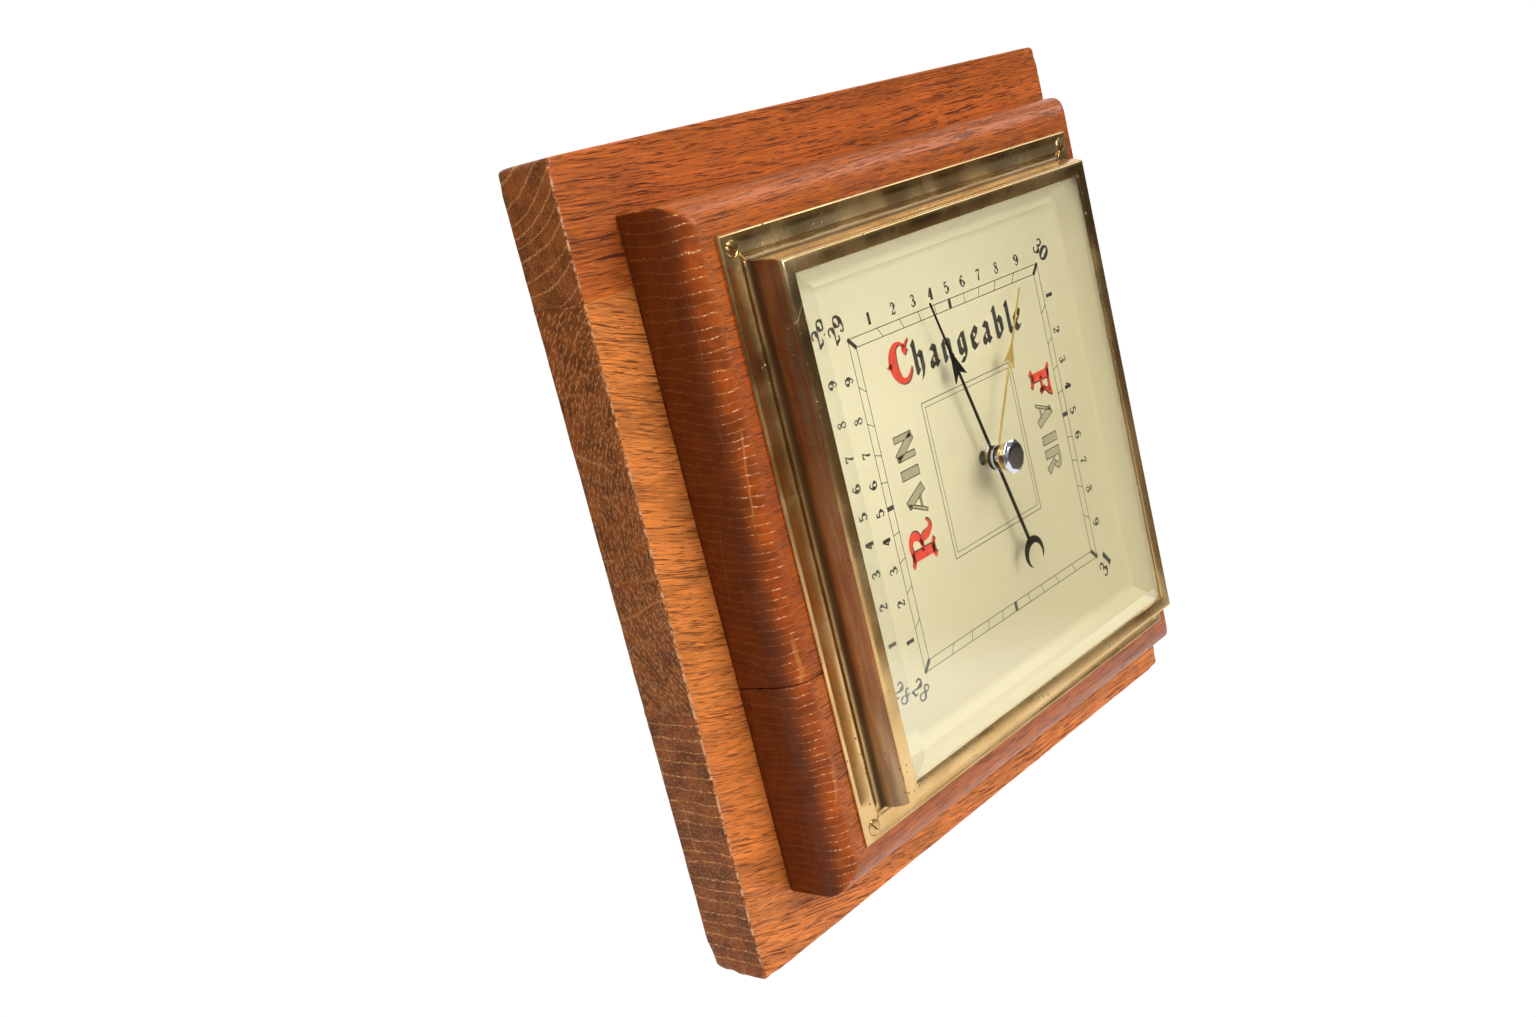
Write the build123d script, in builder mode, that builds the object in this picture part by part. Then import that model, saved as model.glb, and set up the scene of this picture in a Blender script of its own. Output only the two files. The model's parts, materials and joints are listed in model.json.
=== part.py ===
from build123d import *
import math
import os

# Wall-hung square aneroid barometer, in millimetres.
#
# Frame: +X to the right seen from the front, +Z up, the dial faces -Y.
# The origin is the centre of the board's back, on the wall plane and on the hands' axis.
# A "depth" is a distance forward from the wall; a "reach" is a half-width from the hands' axis.

os.makedirs("parts", exist_ok=True)

# ---------------------------------------------------------------- driving dimensions
# Oak back board: three planks glued edge to edge
BOARD_SIZE = 250.0
BOARD_DEPTH = 21.6
BOARD_EDGE = 0.6
BOARD_SEAMS = (-38.7, 84.7)

# Oak raised block on the board: three planks, front edges rounded over
BLOCK_SIZE = 210.8
BLOCK_FRONT = 45.3
BLOCK_ROUND = 9.4
BLOCK_SEAMS = (-38.0, 62.0)
CASE_HOLE_R = 55.6

# Brass bezel
BEZEL_REACH = 93.4
BEZEL_FRONT = BLOCK_FRONT + 13.0
SIGHT_REACH = 78.0
BEZEL_WALL_IN = 80.3
LIP = 0.9
SCREW_REACH = 88.9

# Bevelled glass
GLASS_REACH = 80.1
GLASS_FRONT = 58.7
GLASS_THICK = 4.5
BEVEL_REACH = 72.6
BEVEL_DROP = 1.9

# Dial pressing
DIAL_FRONT = 47.8
DIAL_SHEET = 0.8
DIAL_FLAT_REACH = 70.5
DIAL_RIM_REACH = 78.5
DIAL_BORE_R = 2.5

# Movement case and plates
CASE_R = 55.0
CASE_WALL = 1.0
CASE_BACK = 5.0
FLANGE_R = 64.0
FLANGE_T = 0.8
PLATE_R = 53.8
PLATE_BACK = 6.0
PLATE_FRONT = 8.0
LIP_SCREW_R = 51.8
CASE_SCREW_R = 60.5
CASE_LIP_R = 49.2
PACKING_R = (53.0, 57.5)

# Capsule (vacuum box)
CAPSULE_R = 29.0
CAPSULE_BACK = 11.0
CAPSULE_MID = 15.5
CAPSULE_FRONT = 20.0
CORRUGATION = 0.35
SKIN = 0.4

# Main spring and bridge
SPRING_BACK = 23.0
SPRING_T = 1.2
SPRING_WIDTH = 24.0
SPRING_BEND_X = -33.0
SPRING_END_X = 9.0
BRIDGE_X = (-30.0, -18.0)
BRIDGE_LEG_Y = (27.0, 33.0)
BRIDGE_BACK = 25.0
BRIDGE_FRONT = 29.0
CARRIER_X = -43.0
CARRIER_T = 1.0
CARRIER_WIDTH = 12.0

# Lever chain: main lever, link, rocker, chain and drum
LEVER_TIP_X = 35.0
LINK_Y = 14.0
ROCKER_X = 40.0
ROCKER_DEPTH = 12.5
LONG_ARM = 24.0
DRUM_R = 2.5
PIN_R = 0.5
RUNNING = 0.06

# Arbor plates
STRAP_BACK = 32.5
STRAP_T = 1.5
TOP_STRAP_BACK = 40.5
PILLAR_Y = 38.0
ARBOR_R = 0.8
STUD_REACH = 8.8

# Hands
HAND_DEPTH = 52.0
HAND_T = 0.4
HAND_ANGLE = 16.2
HAND_TIP = 57.5
SET_HAND_DEPTH = 52.95
SET_HAND_T = 0.35
SET_HAND_ANGLE = -33.3
SET_HAND_TIP = 58.5

# Set-hand knob
SPINDLE_R = 2.0
SPINDLE_BOSS_R = 4.0
WASHER_R = 4.4
WASHER_T = 0.6
KNOB_NECK_R = 3.4
KNOB_REACH = 5.9
KNOB_FACE_R = 4.8
KNOB_GIRDLE = 62.1
KNOB_FRONT = 63.2
KNOB_FLATS = 8

# Hanging plate, let into the back of the top plank
HANGER_Z = 102.5
HANGER_T = 1.5
HANGER_SIZE = (48.0, 22.0, 3.0)
HANGER_SCREW_X = 17.0
HANGER_GAP = 0.2
EYE_R = 4.5
SLOT_TOP_Z = 110.0
SLOT_HALF = 2.3

DRUM_DEPTH = ROCKER_DEPTH + LONG_ARM


def facing(depth, turn=0.0):
    """A plane facing forward at a depth, turned anticlockwise by an angle in degrees."""
    a = math.radians(turn)
    return Plane(origin=(0, -depth, 0), x_dir=(math.cos(a), 0, math.sin(a)), z_dir=(0, -1, 0))


def backward(depth):
    """A plane facing the wall at a depth. Its x runs along +X and its y along -Z."""
    return Plane(origin=(0, -depth, 0), x_dir=(1, 0, 0), z_dir=(0, 1, 0))


def upward(height):
    """A plane at a height whose x runs along +X and whose y runs forward (-Y)."""
    return Plane(origin=(0, 0, height), x_dir=(1, 0, 0), z_dir=(0, 0, -1))


def save(piece, name):
    piece.part.label = name
    export_step(piece.part, f"parts/{name}.step")


def ring_places(radius, angles):
    return [(radius * math.cos(math.radians(a)), radius * math.sin(math.radians(a))) for a in angles]


def screws(plane, places, head_r, head_h, shank_r, length, slot, sunk):
    """Slotted screws driven along -z of the plane; a sunk head tapers, others are cheese heads."""
    foot = (Align.CENTER, Align.CENTER, Align.MAX)
    stand = (Align.CENTER, Align.CENTER, Align.MIN)
    with BuildPart(plane) as group:
        with Locations(*places):
            Cylinder(shank_r, length, align=foot)
            if sunk:
                Cone(shank_r, head_r, head_h, align=foot)
                Cone(head_r, head_r * 0.6, head_h * 0.3, align=stand)
                Box(2.2 * head_r, slot, head_h, rotation=(0, 0, 35), mode=Mode.SUBTRACT)
            else:
                Cylinder(head_r, head_h, align=stand)
        if not sunk:
            with Locations(*[(x, y, head_h) for x, y in places]):
                Box(2.2 * head_r, slot, head_h, rotation=(0, 0, 25), mode=Mode.SUBTRACT)
    return group


# ---------------------------------------------------------------- places of the fasteners
BEZEL_SCREWS = [(x, y) for x in (-SCREW_REACH, SCREW_REACH) for y in (-SCREW_REACH, SCREW_REACH)]
CASE_SCREWS = ring_places(CASE_SCREW_R, (45, 135, 225, 315))
LIP_SCREWS = ring_places(LIP_SCREW_R, (90, 210, 330))
BRIDGE_SCREWS = [(sum(BRIDGE_X) / 2, y) for y in (-30.0, 30.0)]
PILLARS = [(0, -PILLAR_Y), (0, PILLAR_Y)]
CARRIER_SCREWS = [(CARRIER_X, y) for y in (-3.2, 3.2)]
SPRING_SCREWS = [(-24.0, -7.0), (-24.0, 7.0)]
BRACKET_SCREWS = [(ROCKER_X, -22.3), (ROCKER_X, 22.3)]
HANGER_SCREWS = [(x, HANGER_Z) for x in (-HANGER_SCREW_X, HANGER_SCREW_X)]
ADJUSTER_X = -20.0


# ---------------------------------------------------------------- oak back board
with BuildPart() as board:
    with BuildSketch(facing(0)):
        Rectangle(BOARD_SIZE, BOARD_SIZE)
    extrude(amount=BOARD_DEPTH)
    chamfer(board.edges(), BOARD_EDGE)
    with BuildSketch(facing(0)):
        Circle(CASE_HOLE_R)
    extrude(amount=BOARD_DEPTH, mode=Mode.SUBTRACT)
    # recess for the hanging plate, and the pocket for the wall screw's head
    with BuildSketch(facing(0)):
        with Locations((0, HANGER_Z + 1)):
            RectangleRounded(*[v + 2 * HANGER_GAP for v in HANGER_SIZE[:2]], HANGER_SIZE[2] + HANGER_GAP)
    extrude(amount=HANGER_T, mode=Mode.SUBTRACT)
    with BuildSketch(facing(HANGER_T)):
        with Locations((0, (HANGER_Z + SLOT_TOP_Z) / 2)):
            SlotCenterToCenter(SLOT_TOP_Z - HANGER_Z, 13.0, rotation=90)
    extrude(amount=8.0, mode=Mode.SUBTRACT)
    with BuildSketch(facing(HANGER_T)):
        with Locations(*HANGER_SCREWS):
            Circle(1.35)
    extrude(amount=12.5, mode=Mode.SUBTRACT)

with BuildPart() as board_top:
    add(board.part)
    split(bisect_by=Plane.XY.offset(BOARD_SEAMS[1]), keep=Keep.TOP)
save(board_top, "board_plank_top")

with BuildPart() as board_middle:
    add(board.part)
    split(bisect_by=Plane.XY.offset(BOARD_SEAMS[1]), keep=Keep.BOTTOM)
    split(bisect_by=Plane.XY.offset(BOARD_SEAMS[0]), keep=Keep.TOP)
save(board_middle, "board_plank_middle")

with BuildPart() as board_bottom:
    add(board.part)
    split(bisect_by=Plane.XY.offset(BOARD_SEAMS[0]), keep=Keep.BOTTOM)
save(board_bottom, "board_plank_bottom")


# ---------------------------------------------------------------- oak raised block
with BuildPart() as block:
    with BuildSketch(facing(BOARD_DEPTH)):
        Rectangle(BLOCK_SIZE, BLOCK_SIZE)
    extrude(amount=BLOCK_FRONT - BOARD_DEPTH)
    fillet(block.faces().sort_by(Axis.Y)[0].edges(), BLOCK_ROUND)
    with BuildSketch(facing(BOARD_DEPTH)):
        Circle(CASE_HOLE_R)
    extrude(amount=BLOCK_FRONT, mode=Mode.SUBTRACT)
    with BuildSketch(facing(BLOCK_FRONT)):
        with Locations(*BEZEL_SCREWS):
            Circle(1.3)
    extrude(amount=-12.5, mode=Mode.SUBTRACT)
    with BuildPart(facing(BLOCK_FRONT), mode=Mode.SUBTRACT):
        with Locations(*CASE_SCREWS):
            Cylinder(1.25, 10.5, align=(Align.CENTER, Align.CENTER, Align.MAX))
            Cone(1.25, 1.75, 0.5, align=(Align.CENTER, Align.CENTER, Align.MAX))

with BuildPart() as block_top:
    add(block.part)
    split(bisect_by=Plane.XY.offset(BLOCK_SEAMS[1]), keep=Keep.TOP)
save(block_top, "block_plank_top")

with BuildPart() as block_middle:
    add(block.part)
    split(bisect_by=Plane.XY.offset(BLOCK_SEAMS[1]), keep=Keep.BOTTOM)
    split(bisect_by=Plane.XY.offset(BLOCK_SEAMS[0]), keep=Keep.TOP)
save(block_middle, "block_plank_middle")

with BuildPart() as block_bottom:
    add(block.part)
    split(bisect_by=Plane.XY.offset(BLOCK_SEAMS[0]), keep=Keep.BOTTOM)
save(block_bottom, "block_plank_bottom")


# ---------------------------------------------------------------- brass bezel
# Section on the plane X = 0: x of the sketch is the reach (downward), y is the height over the block.
bezel_section = Plane(origin=(0, -BLOCK_FRONT, 0), x_dir=(0, 0, -1), z_dir=(-1, 0, 0))
TOP = BEZEL_FRONT - BLOCK_FRONT
with BuildPart() as bezel:
    with BuildLine(facing(BLOCK_FRONT)) as bezel_path:
        Polyline(
            (0, -BEZEL_REACH), (BEZEL_REACH, -BEZEL_REACH), (BEZEL_REACH, BEZEL_REACH),
            (-BEZEL_REACH, BEZEL_REACH), (-BEZEL_REACH, -BEZEL_REACH), (0, -BEZEL_REACH),
        )
    with BuildSketch(bezel_section) as bezel_profile:
        with BuildLine():
            Polyline((SIGHT_REACH, TOP - LIP), (BEZEL_WALL_IN, TOP - LIP), (BEZEL_WALL_IN, 0),
                     (BEZEL_REACH, 0), (93.3, 1.0), (92.7, 1.5))
            ThreePointArc((92.7, 1.5), (89.7, 1.2), (87.9, 1.8))
            ThreePointArc((87.9, 1.8), (87.2, 2.15), (86.5, 1.9))
            ThreePointArc((86.5, 1.9), (85.3, 1.8), (84.1, 2.8))
            ThreePointArc((84.1, 2.8), (83.8, 6.3), (82.9, 10.9))
            ThreePointArc((82.9, 10.9), (82.9, 12.3), (81.8, TOP))
            Polyline((81.8, TOP), (SIGHT_REACH, TOP), (SIGHT_REACH, TOP - LIP))
        make_face()
    sweep(path=bezel_path.wires()[0], transition=Transition.RIGHT)
    with BuildPart(facing(BLOCK_FRONT + 1.2), mode=Mode.SUBTRACT):
        with Locations(*BEZEL_SCREWS):
            Cylinder(1.3, 6.0)
            Cone(1.3, 2.5, 1.0, align=(Align.CENTER, Align.CENTER, Align.MAX))
            Cylinder(2.55, 3.0, align=(Align.CENTER, Align.CENTER, Align.MIN))
save(bezel, "bezel")

bezel_screws = screws(facing(BLOCK_FRONT + 1.2), BEZEL_SCREWS, 2.4, 1.0, 1.2, 12.0, 0.6, sunk=True)
save(bezel_screws, "bezel_screws")


# ---------------------------------------------------------------- bevelled glass
with BuildPart() as glass:
    with BuildSketch(facing(GLASS_FRONT - GLASS_THICK)):
        Rectangle(2 * GLASS_REACH, 2 * GLASS_REACH)
    extrude(amount=GLASS_THICK - BEVEL_DROP)
    with BuildSketch(facing(GLASS_FRONT - BEVEL_DROP)):
        Rectangle(2 * GLASS_REACH, 2 * GLASS_REACH)
    with BuildSketch(facing(GLASS_FRONT)):
        Rectangle(2 * BEVEL_REACH, 2 * BEVEL_REACH)
    loft()
    with BuildSketch(facing(GLASS_FRONT - 2 * GLASS_THICK)):
        Circle(SPINDLE_R + RUNNING)
    extrude(amount=3 * GLASS_THICK, mode=Mode.SUBTRACT)
save(glass, "glass")


# ---------------------------------------------------------------- dial: one pressed and painted tray
RIM_BACK = GLASS_FRONT - GLASS_THICK - DIAL_SHEET
SLOPE = (DIAL_RIM_REACH - DIAL_FLAT_REACH) / (GLASS_FRONT - GLASS_THICK - DIAL_FRONT)
OUT = DIAL_SHEET * math.hypot(1, SLOPE) - DIAL_SHEET * SLOPE
with BuildPart() as dial:
    with BuildSketch(facing(DIAL_FRONT - DIAL_SHEET)):
        Rectangle(2 * (DIAL_FLAT_REACH + OUT), 2 * (DIAL_FLAT_REACH + OUT))
    with BuildSketch(facing(RIM_BACK)):
        Rectangle(2 * (DIAL_RIM_REACH + OUT), 2 * (DIAL_RIM_REACH + OUT))
    loft()
    with BuildSketch(facing(RIM_BACK)):
        Rectangle(2 * GLASS_REACH, 2 * GLASS_REACH)
    extrude(amount=DIAL_SHEET)
    with BuildSketch(facing(DIAL_FRONT)):
        Rectangle(2 * DIAL_FLAT_REACH, 2 * DIAL_FLAT_REACH)
    with BuildSketch(facing(RIM_BACK + DIAL_SHEET)):
        Rectangle(2 * DIAL_RIM_REACH, 2 * DIAL_RIM_REACH)
    loft(mode=Mode.SUBTRACT)
    with BuildSketch(facing(0)):
        Circle(DIAL_BORE_R)
    extrude(amount=BLOCK_FRONT + 5, mode=Mode.SUBTRACT)
save(dial, "dial")

with BuildPart() as dial_packing:
    with BuildSketch(facing(BLOCK_FRONT + FLANGE_T)):
        Circle(PACKING_R[1])
        Circle(PACKING_R[0], mode=Mode.SUBTRACT)
    extrude(amount=DIAL_FRONT - DIAL_SHEET - BLOCK_FRONT - FLANGE_T)
save(dial_packing, "dial_packing")


# ---------------------------------------------------------------- movement case: a flanged drum
with BuildPart() as movement_case:
    with BuildSketch(facing(CASE_BACK)):
        Circle(CASE_R)
        Circle(CASE_R - CASE_WALL, mode=Mode.SUBTRACT)
    extrude(amount=BLOCK_FRONT + FLANGE_T - CASE_BACK)
    with BuildSketch(facing(BLOCK_FRONT)):
        Circle(FLANGE_R)
        Circle(CASE_R - CASE_WALL, mode=Mode.SUBTRACT)
    extrude(amount=FLANGE_T)
    with BuildSketch(facing(CASE_BACK)):
        Circle(CASE_R)
        Circle(CASE_LIP_R, mode=Mode.SUBTRACT)
        with Locations(*LIP_SCREWS):
            Circle(1.05, mode=Mode.SUBTRACT)
    extrude(amount=PLATE_BACK - CASE_BACK)
    with BuildPart(facing(BLOCK_FRONT + FLANGE_T), mode=Mode.SUBTRACT):
        with Locations(*CASE_SCREWS):
            Cone(1.45, 2.25, FLANGE_T, align=(Align.CENTER, Align.CENTER, Align.MAX))
save(movement_case, "movement_case")

with BuildPart() as case_screws:
    with BuildPart(facing(BLOCK_FRONT + FLANGE_T)):
        with Locations(*CASE_SCREWS):
            Cylinder(1.15, 11.0, align=(Align.CENTER, Align.CENTER, Align.MAX))
            Cone(1.15, 2.2, 1.0, align=(Align.CENTER, Align.CENTER, Align.MAX))
            Box(5.0, 0.6, 1.0, rotation=(0, 0, 20), mode=Mode.SUBTRACT)
save(case_screws, "case_screws")


# ---------------------------------------------------------------- movement plate
with BuildPart() as movement_plate:
    with BuildSketch(facing(PLATE_BACK)):
        Circle(PLATE_R)
        with Locations(*LIP_SCREWS):
            Circle(0.95, mode=Mode.SUBTRACT)
        with Locations(*BRIDGE_SCREWS):
            Circle(1.55, mode=Mode.SUBTRACT)
        with Locations(*PILLARS):
            Circle(1.3, mode=Mode.SUBTRACT)
        with Locations(*CARRIER_SCREWS):
            Circle(1.0, mode=Mode.SUBTRACT)
        with Locations(*BRACKET_SCREWS):
            Circle(1.0, mode=Mode.SUBTRACT)
        with Locations((ADJUSTER_X, 0)):
            Circle(1.8 + RUNNING, mode=Mode.SUBTRACT)
    extrude(amount=PLATE_FRONT - PLATE_BACK)
save(movement_plate, "movement_plate")

# backward planes have y along -Z, so the places are flipped
lip_screws_behind = [(x, -y) for x, y in LIP_SCREWS]
plate_screws = screws(backward(CASE_BACK), lip_screws_behind, 1.9, 1.1, 0.9, 3.4, 0.5, sunk=False)
save(plate_screws, "plate_screws")

bridge_screws = screws(backward(PLATE_BACK), BRIDGE_SCREWS, 3.0, 1.6, 1.45, 11.0, 0.8, sunk=False)
save(bridge_screws, "bridge_screws")

pillar_base_screws = screws(backward(PLATE_BACK), PILLARS, 2.5, 1.4, 1.2, 9.0, 0.7, sunk=False)
save(pillar_base_screws, "pillar_base_screws")


# ---------------------------------------------------------------- capsule carrier, a leaf under the capsule
with BuildPart() as carrier_block:
    with BuildSketch(facing(PLATE_FRONT)):
        with Locations((CARRIER_X, 0)):
            Rectangle(8, CARRIER_WIDTH)
        with Locations(*CARRIER_SCREWS):
            Circle(1.1, mode=Mode.SUBTRACT)
    extrude(amount=CARRIER_T)
save(carrier_block, "carrier_block")

with BuildPart() as capsule_carrier:
    with BuildSketch(facing(PLATE_FRONT + CARRIER_T)):
        with Locations((-19.5, 0)):
            RectangleRounded(55, CARRIER_WIDTH, 2.5)
        with Locations(*CARRIER_SCREWS):
            Circle(1.1, mode=Mode.SUBTRACT)
        Circle(1.85, mode=Mode.SUBTRACT)
    extrude(amount=CARRIER_T)
save(capsule_carrier, "capsule_carrier")

CARRIER_FRONT = PLATE_FRONT + 2 * CARRIER_T
carrier_screws = screws(facing(CARRIER_FRONT), CARRIER_SCREWS, 1.8, 1.1, 0.95, 3.6, 0.5, sunk=False)
save(carrier_screws, "carrier_screws")

with BuildPart() as capsule_seat:
    with BuildSketch(facing(CARRIER_FRONT)):
        Circle(5.0)
    extrude(amount=CAPSULE_BACK - CARRIER_FRONT)
    with BuildSketch(facing(CARRIER_FRONT)):
        Circle(1.8)
    extrude(amount=-CARRIER_T)
save(capsule_seat, "capsule_seat")

with BuildPart(backward(PLATE_BACK - 0.1)) as adjusting_screw:
    with Locations((ADJUSTER_X, 0)):
        Cylinder(3.2, 1.7, align=(Align.CENTER, Align.CENTER, Align.MIN))
        Cylinder(1.8, PLATE_FRONT - PLATE_BACK + 1.0, align=(Align.CENTER, Align.CENTER, Align.MAX))
    with Locations((ADJUSTER_X, 0, 1.7)):
        Box(7.0, 0.8, 1.8, rotation=(0, 0, 62), mode=Mode.SUBTRACT)
save(adjusting_screw, "adjusting_screw")


# ---------------------------------------------------------------- corrugated capsule
def diaphragm(direction):
    """One corrugated half of the vacuum box. direction is +1 for the front half, -1 for the back."""
    flat = 5.0
    edge = CAPSULE_R - 1.5
    rise = CAPSULE_FRONT - CAPSULE_MID
    waves = 4
    steps = 28
    section = Plane(origin=(0, -CAPSULE_MID, 0), x_dir=(1, 0, 0), z_dir=(0, 0, -direction))

    def height(r):
        t = (r - flat) / (edge - flat)
        dome = SKIN + (rise - SKIN) * (1 - t ** 3)
        return dome - CORRUGATION * (1 - math.cos(2 * math.pi * waves * t)) * (1 - t * t)

    radii = [flat + (edge - flat) * i / steps for i in range(steps + 1)]
    with BuildPart() as half:
        with BuildSketch(section):
            with BuildLine():
                Line((0, rise), (flat, rise))
                Spline(*[(r, height(r)) for r in radii])
                Polyline((edge, SKIN), (CAPSULE_R, SKIN), (CAPSULE_R, 0), (edge, 0))
                Spline(*[(r, height(r) - SKIN) for r in reversed(radii)])
                Polyline((flat, rise - SKIN), (0, rise - SKIN), (0, rise))
            make_face()
        revolve(axis=Axis.Y)
    return half


capsule_front = diaphragm(1)
save(capsule_front, "capsule_front")
capsule_back = diaphragm(-1)
save(capsule_back, "capsule_back")


# ---------------------------------------------------------------- capsule stud and its cross pin
STUD_BASE = CAPSULE_FRONT + 0.1
PIN_DEPTH = SPRING_BACK + SPRING_T + 0.7
with BuildPart() as capsule_stud:
    with BuildSketch(facing(STUD_BASE)):
        Circle(4.5)
    extrude(amount=1.0)
    with BuildSketch(facing(STUD_BASE)):
        Circle(1.6)
    extrude(amount=7.4)
    with BuildSketch(upward(0)):
        with Locations((0, PIN_DEPTH)):
            Circle(0.6)
    extrude(amount=3, both=True, mode=Mode.SUBTRACT)
save(capsule_stud, "capsule_stud")

with BuildPart() as stud_pin:
    with BuildSketch(upward(0)):
        with Locations((0, PIN_DEPTH)):
            Circle(0.58)
    extrude(amount=4.2, both=True)
save(stud_pin, "stud_pin")


# ---------------------------------------------------------------- bridge over the capsule
with BuildPart() as bridge:
    with BuildSketch(Plane(origin=(BRIDGE_X[0], 0, 0), x_dir=(0, 0, 1), z_dir=(1, 0, 0))):
        with BuildLine():
            inner, outer = BRIDGE_LEG_Y
            Polyline(
                (-outer, PLATE_FRONT), (-inner, PLATE_FRONT), (-inner, BRIDGE_BACK), (inner, BRIDGE_BACK),
                (inner, PLATE_FRONT), (outer, PLATE_FRONT), (outer, BRIDGE_FRONT - 2),
                (outer - 2, BRIDGE_FRONT), (2 - outer, BRIDGE_FRONT), (-outer, BRIDGE_FRONT - 2), close=True,
            )
        make_face()
    extrude(amount=BRIDGE_X[1] - BRIDGE_X[0])
    with BuildSketch(facing(PLATE_FRONT)):
        with Locations(*BRIDGE_SCREWS):
            Circle(1.5)
    extrude(amount=9.5, mode=Mode.SUBTRACT)
    with BuildSketch(facing(BRIDGE_FRONT)):
        with Locations(*SPRING_SCREWS):
            Circle(1.15)
    extrude(amount=-3.2, mode=Mode.SUBTRACT)
save(bridge, "bridge")


# ---------------------------------------------------------------- main spring, a C-shaped leaf
BEND_R = (BRIDGE_FRONT - SPRING_BACK) / 2
BEND_DEPTH = SPRING_BACK + BEND_R + SPRING_T / 2
with BuildPart() as main_spring:
    with BuildSketch(upward(SPRING_WIDTH / 2)):
        with BuildLine():
            Line((SPRING_END_X, SPRING_BACK), (SPRING_BEND_X, SPRING_BACK))
            ThreePointArc(
                (SPRING_BEND_X, SPRING_BACK), (SPRING_BEND_X - BEND_R - SPRING_T / 2, BEND_DEPTH),
                (SPRING_BEND_X, BRIDGE_FRONT + SPRING_T),
            )
            Polyline(
                (SPRING_BEND_X, BRIDGE_FRONT + SPRING_T), (-19.0, BRIDGE_FRONT + SPRING_T),
                (-19.0, BRIDGE_FRONT), (SPRING_BEND_X, BRIDGE_FRONT),
            )
            ThreePointArc(
                (SPRING_BEND_X, BRIDGE_FRONT), (SPRING_BEND_X - BEND_R + SPRING_T / 2, BEND_DEPTH),
                (SPRING_BEND_X, SPRING_BACK + SPRING_T),
            )
            Polyline(
                (SPRING_BEND_X, SPRING_BACK + SPRING_T), (SPRING_END_X, SPRING_BACK + SPRING_T),
                (SPRING_END_X, SPRING_BACK),
            )
        make_face()
    extrude(amount=SPRING_WIDTH)
    with BuildSketch(facing(SPRING_BACK)):
        Circle(2.2)
    extrude(amount=SPRING_T, mode=Mode.SUBTRACT)
    with BuildSketch(facing(BRIDGE_FRONT)):
        with Locations(*SPRING_SCREWS):
            Circle(1.25)
    extrude(amount=SPRING_T, mode=Mode.SUBTRACT)
save(main_spring, "main_spring")

spring_screws = screws(
    facing(BRIDGE_FRONT + SPRING_T), SPRING_SCREWS, 2.1, 1.3, 1.1, 4.2, 0.6, sunk=False)
save(spring_screws, "spring_screws")


# ---------------------------------------------------------------- main lever
LEVER_BACK = SPRING_BACK + SPRING_T + 0.1
LEVER_T = 1.2
LEVER_DEPTH = LEVER_BACK + LEVER_T / 2
with BuildPart() as main_lever:
    with BuildSketch(facing(LEVER_BACK)):
        with BuildLine():
            Polyline(
                (3.6, -6.0), (8.8, -6.0), (11.5, -2.2), (LEVER_TIP_X + 1.6, 8.2), (LEVER_TIP_X + 1.6, 12.2),
                (LEVER_TIP_X - 1.6, 12.2), (9.0, 4.2), (3.6, 4.2), close=True,
            )
        make_face()
    extrude(amount=LEVER_T)
    # the pin that the link hangs on
    with BuildSketch(upward(12.2)):
        with Locations((LEVER_TIP_X, LEVER_DEPTH)):
            Circle(PIN_R)
    extrude(amount=-3.4)
save(main_lever, "main_lever")


# ---------------------------------------------------------------- link rod, from the lever down to the rocker
EYE_OUT = 1.7
with BuildPart() as link_rod:
    with BuildSketch(upward(LINK_Y + 0.6)):
        with Locations((LEVER_TIP_X, LEVER_DEPTH), (LEVER_TIP_X, ROCKER_DEPTH)):
            Circle(EYE_OUT)
        with Locations((LEVER_TIP_X, (LEVER_DEPTH + ROCKER_DEPTH) / 2)):
            Rectangle(1.4, LEVER_DEPTH - ROCKER_DEPTH)
        with Locations((LEVER_TIP_X, LEVER_DEPTH)):
            Circle(PIN_R + RUNNING, mode=Mode.SUBTRACT)
        with Locations((LEVER_TIP_X, ROCKER_DEPTH)):
            Circle(PIN_R + 0.5, mode=Mode.SUBTRACT)
    extrude(amount=1.2)
save(link_rod, "link_rod")


# ---------------------------------------------------------------- rocker: its arbor and two arms
SHORT_ARM = ROCKER_X - LEVER_TIP_X
with BuildPart() as rocker:
    with BuildSketch(upward(16.6)):
        with Locations((ROCKER_X, ROCKER_DEPTH)):
            Circle(1.2)
    extrude(amount=31.2)
    with BuildSketch(upward(19.4)):
        with Locations((ROCKER_X, ROCKER_DEPTH)):
            Circle(PIN_R)
    extrude(amount=36.8)
    # short arm, with the pin that the link hangs on
    with BuildSketch(upward(12.0)):
        with Locations((ROCKER_X - SHORT_ARM / 2, ROCKER_DEPTH)):
            SlotCenterToCenter(SHORT_ARM, 3.0)
    extrude(amount=1.4)
    with BuildSketch(upward(15.4)):
        with Locations((LEVER_TIP_X, ROCKER_DEPTH)):
            Circle(PIN_R)
    extrude(amount=4.0)
    # long arm, with the pin that the chain hooks on
    with BuildSketch(upward(-4.6)):
        with BuildLine():
            Polyline(
                (ROCKER_X - 1.9, ROCKER_DEPTH), (ROCKER_X + 1.9, ROCKER_DEPTH),
                (ROCKER_X + 0.9, DRUM_DEPTH), (ROCKER_X - 0.9, DRUM_DEPTH), close=True,
            )
        make_face()
        with Locations((ROCKER_X, ROCKER_DEPTH)):
            Circle(2.2)
        with Locations((ROCKER_X, DRUM_DEPTH)):
            Circle(1.1)
    extrude(amount=1.4)
    with BuildSketch(upward(-1.3)):
        with Locations((ROCKER_X, DRUM_DEPTH)):
            Circle(0.3)
    extrude(amount=3.6)
save(rocker, "rocker")

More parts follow.
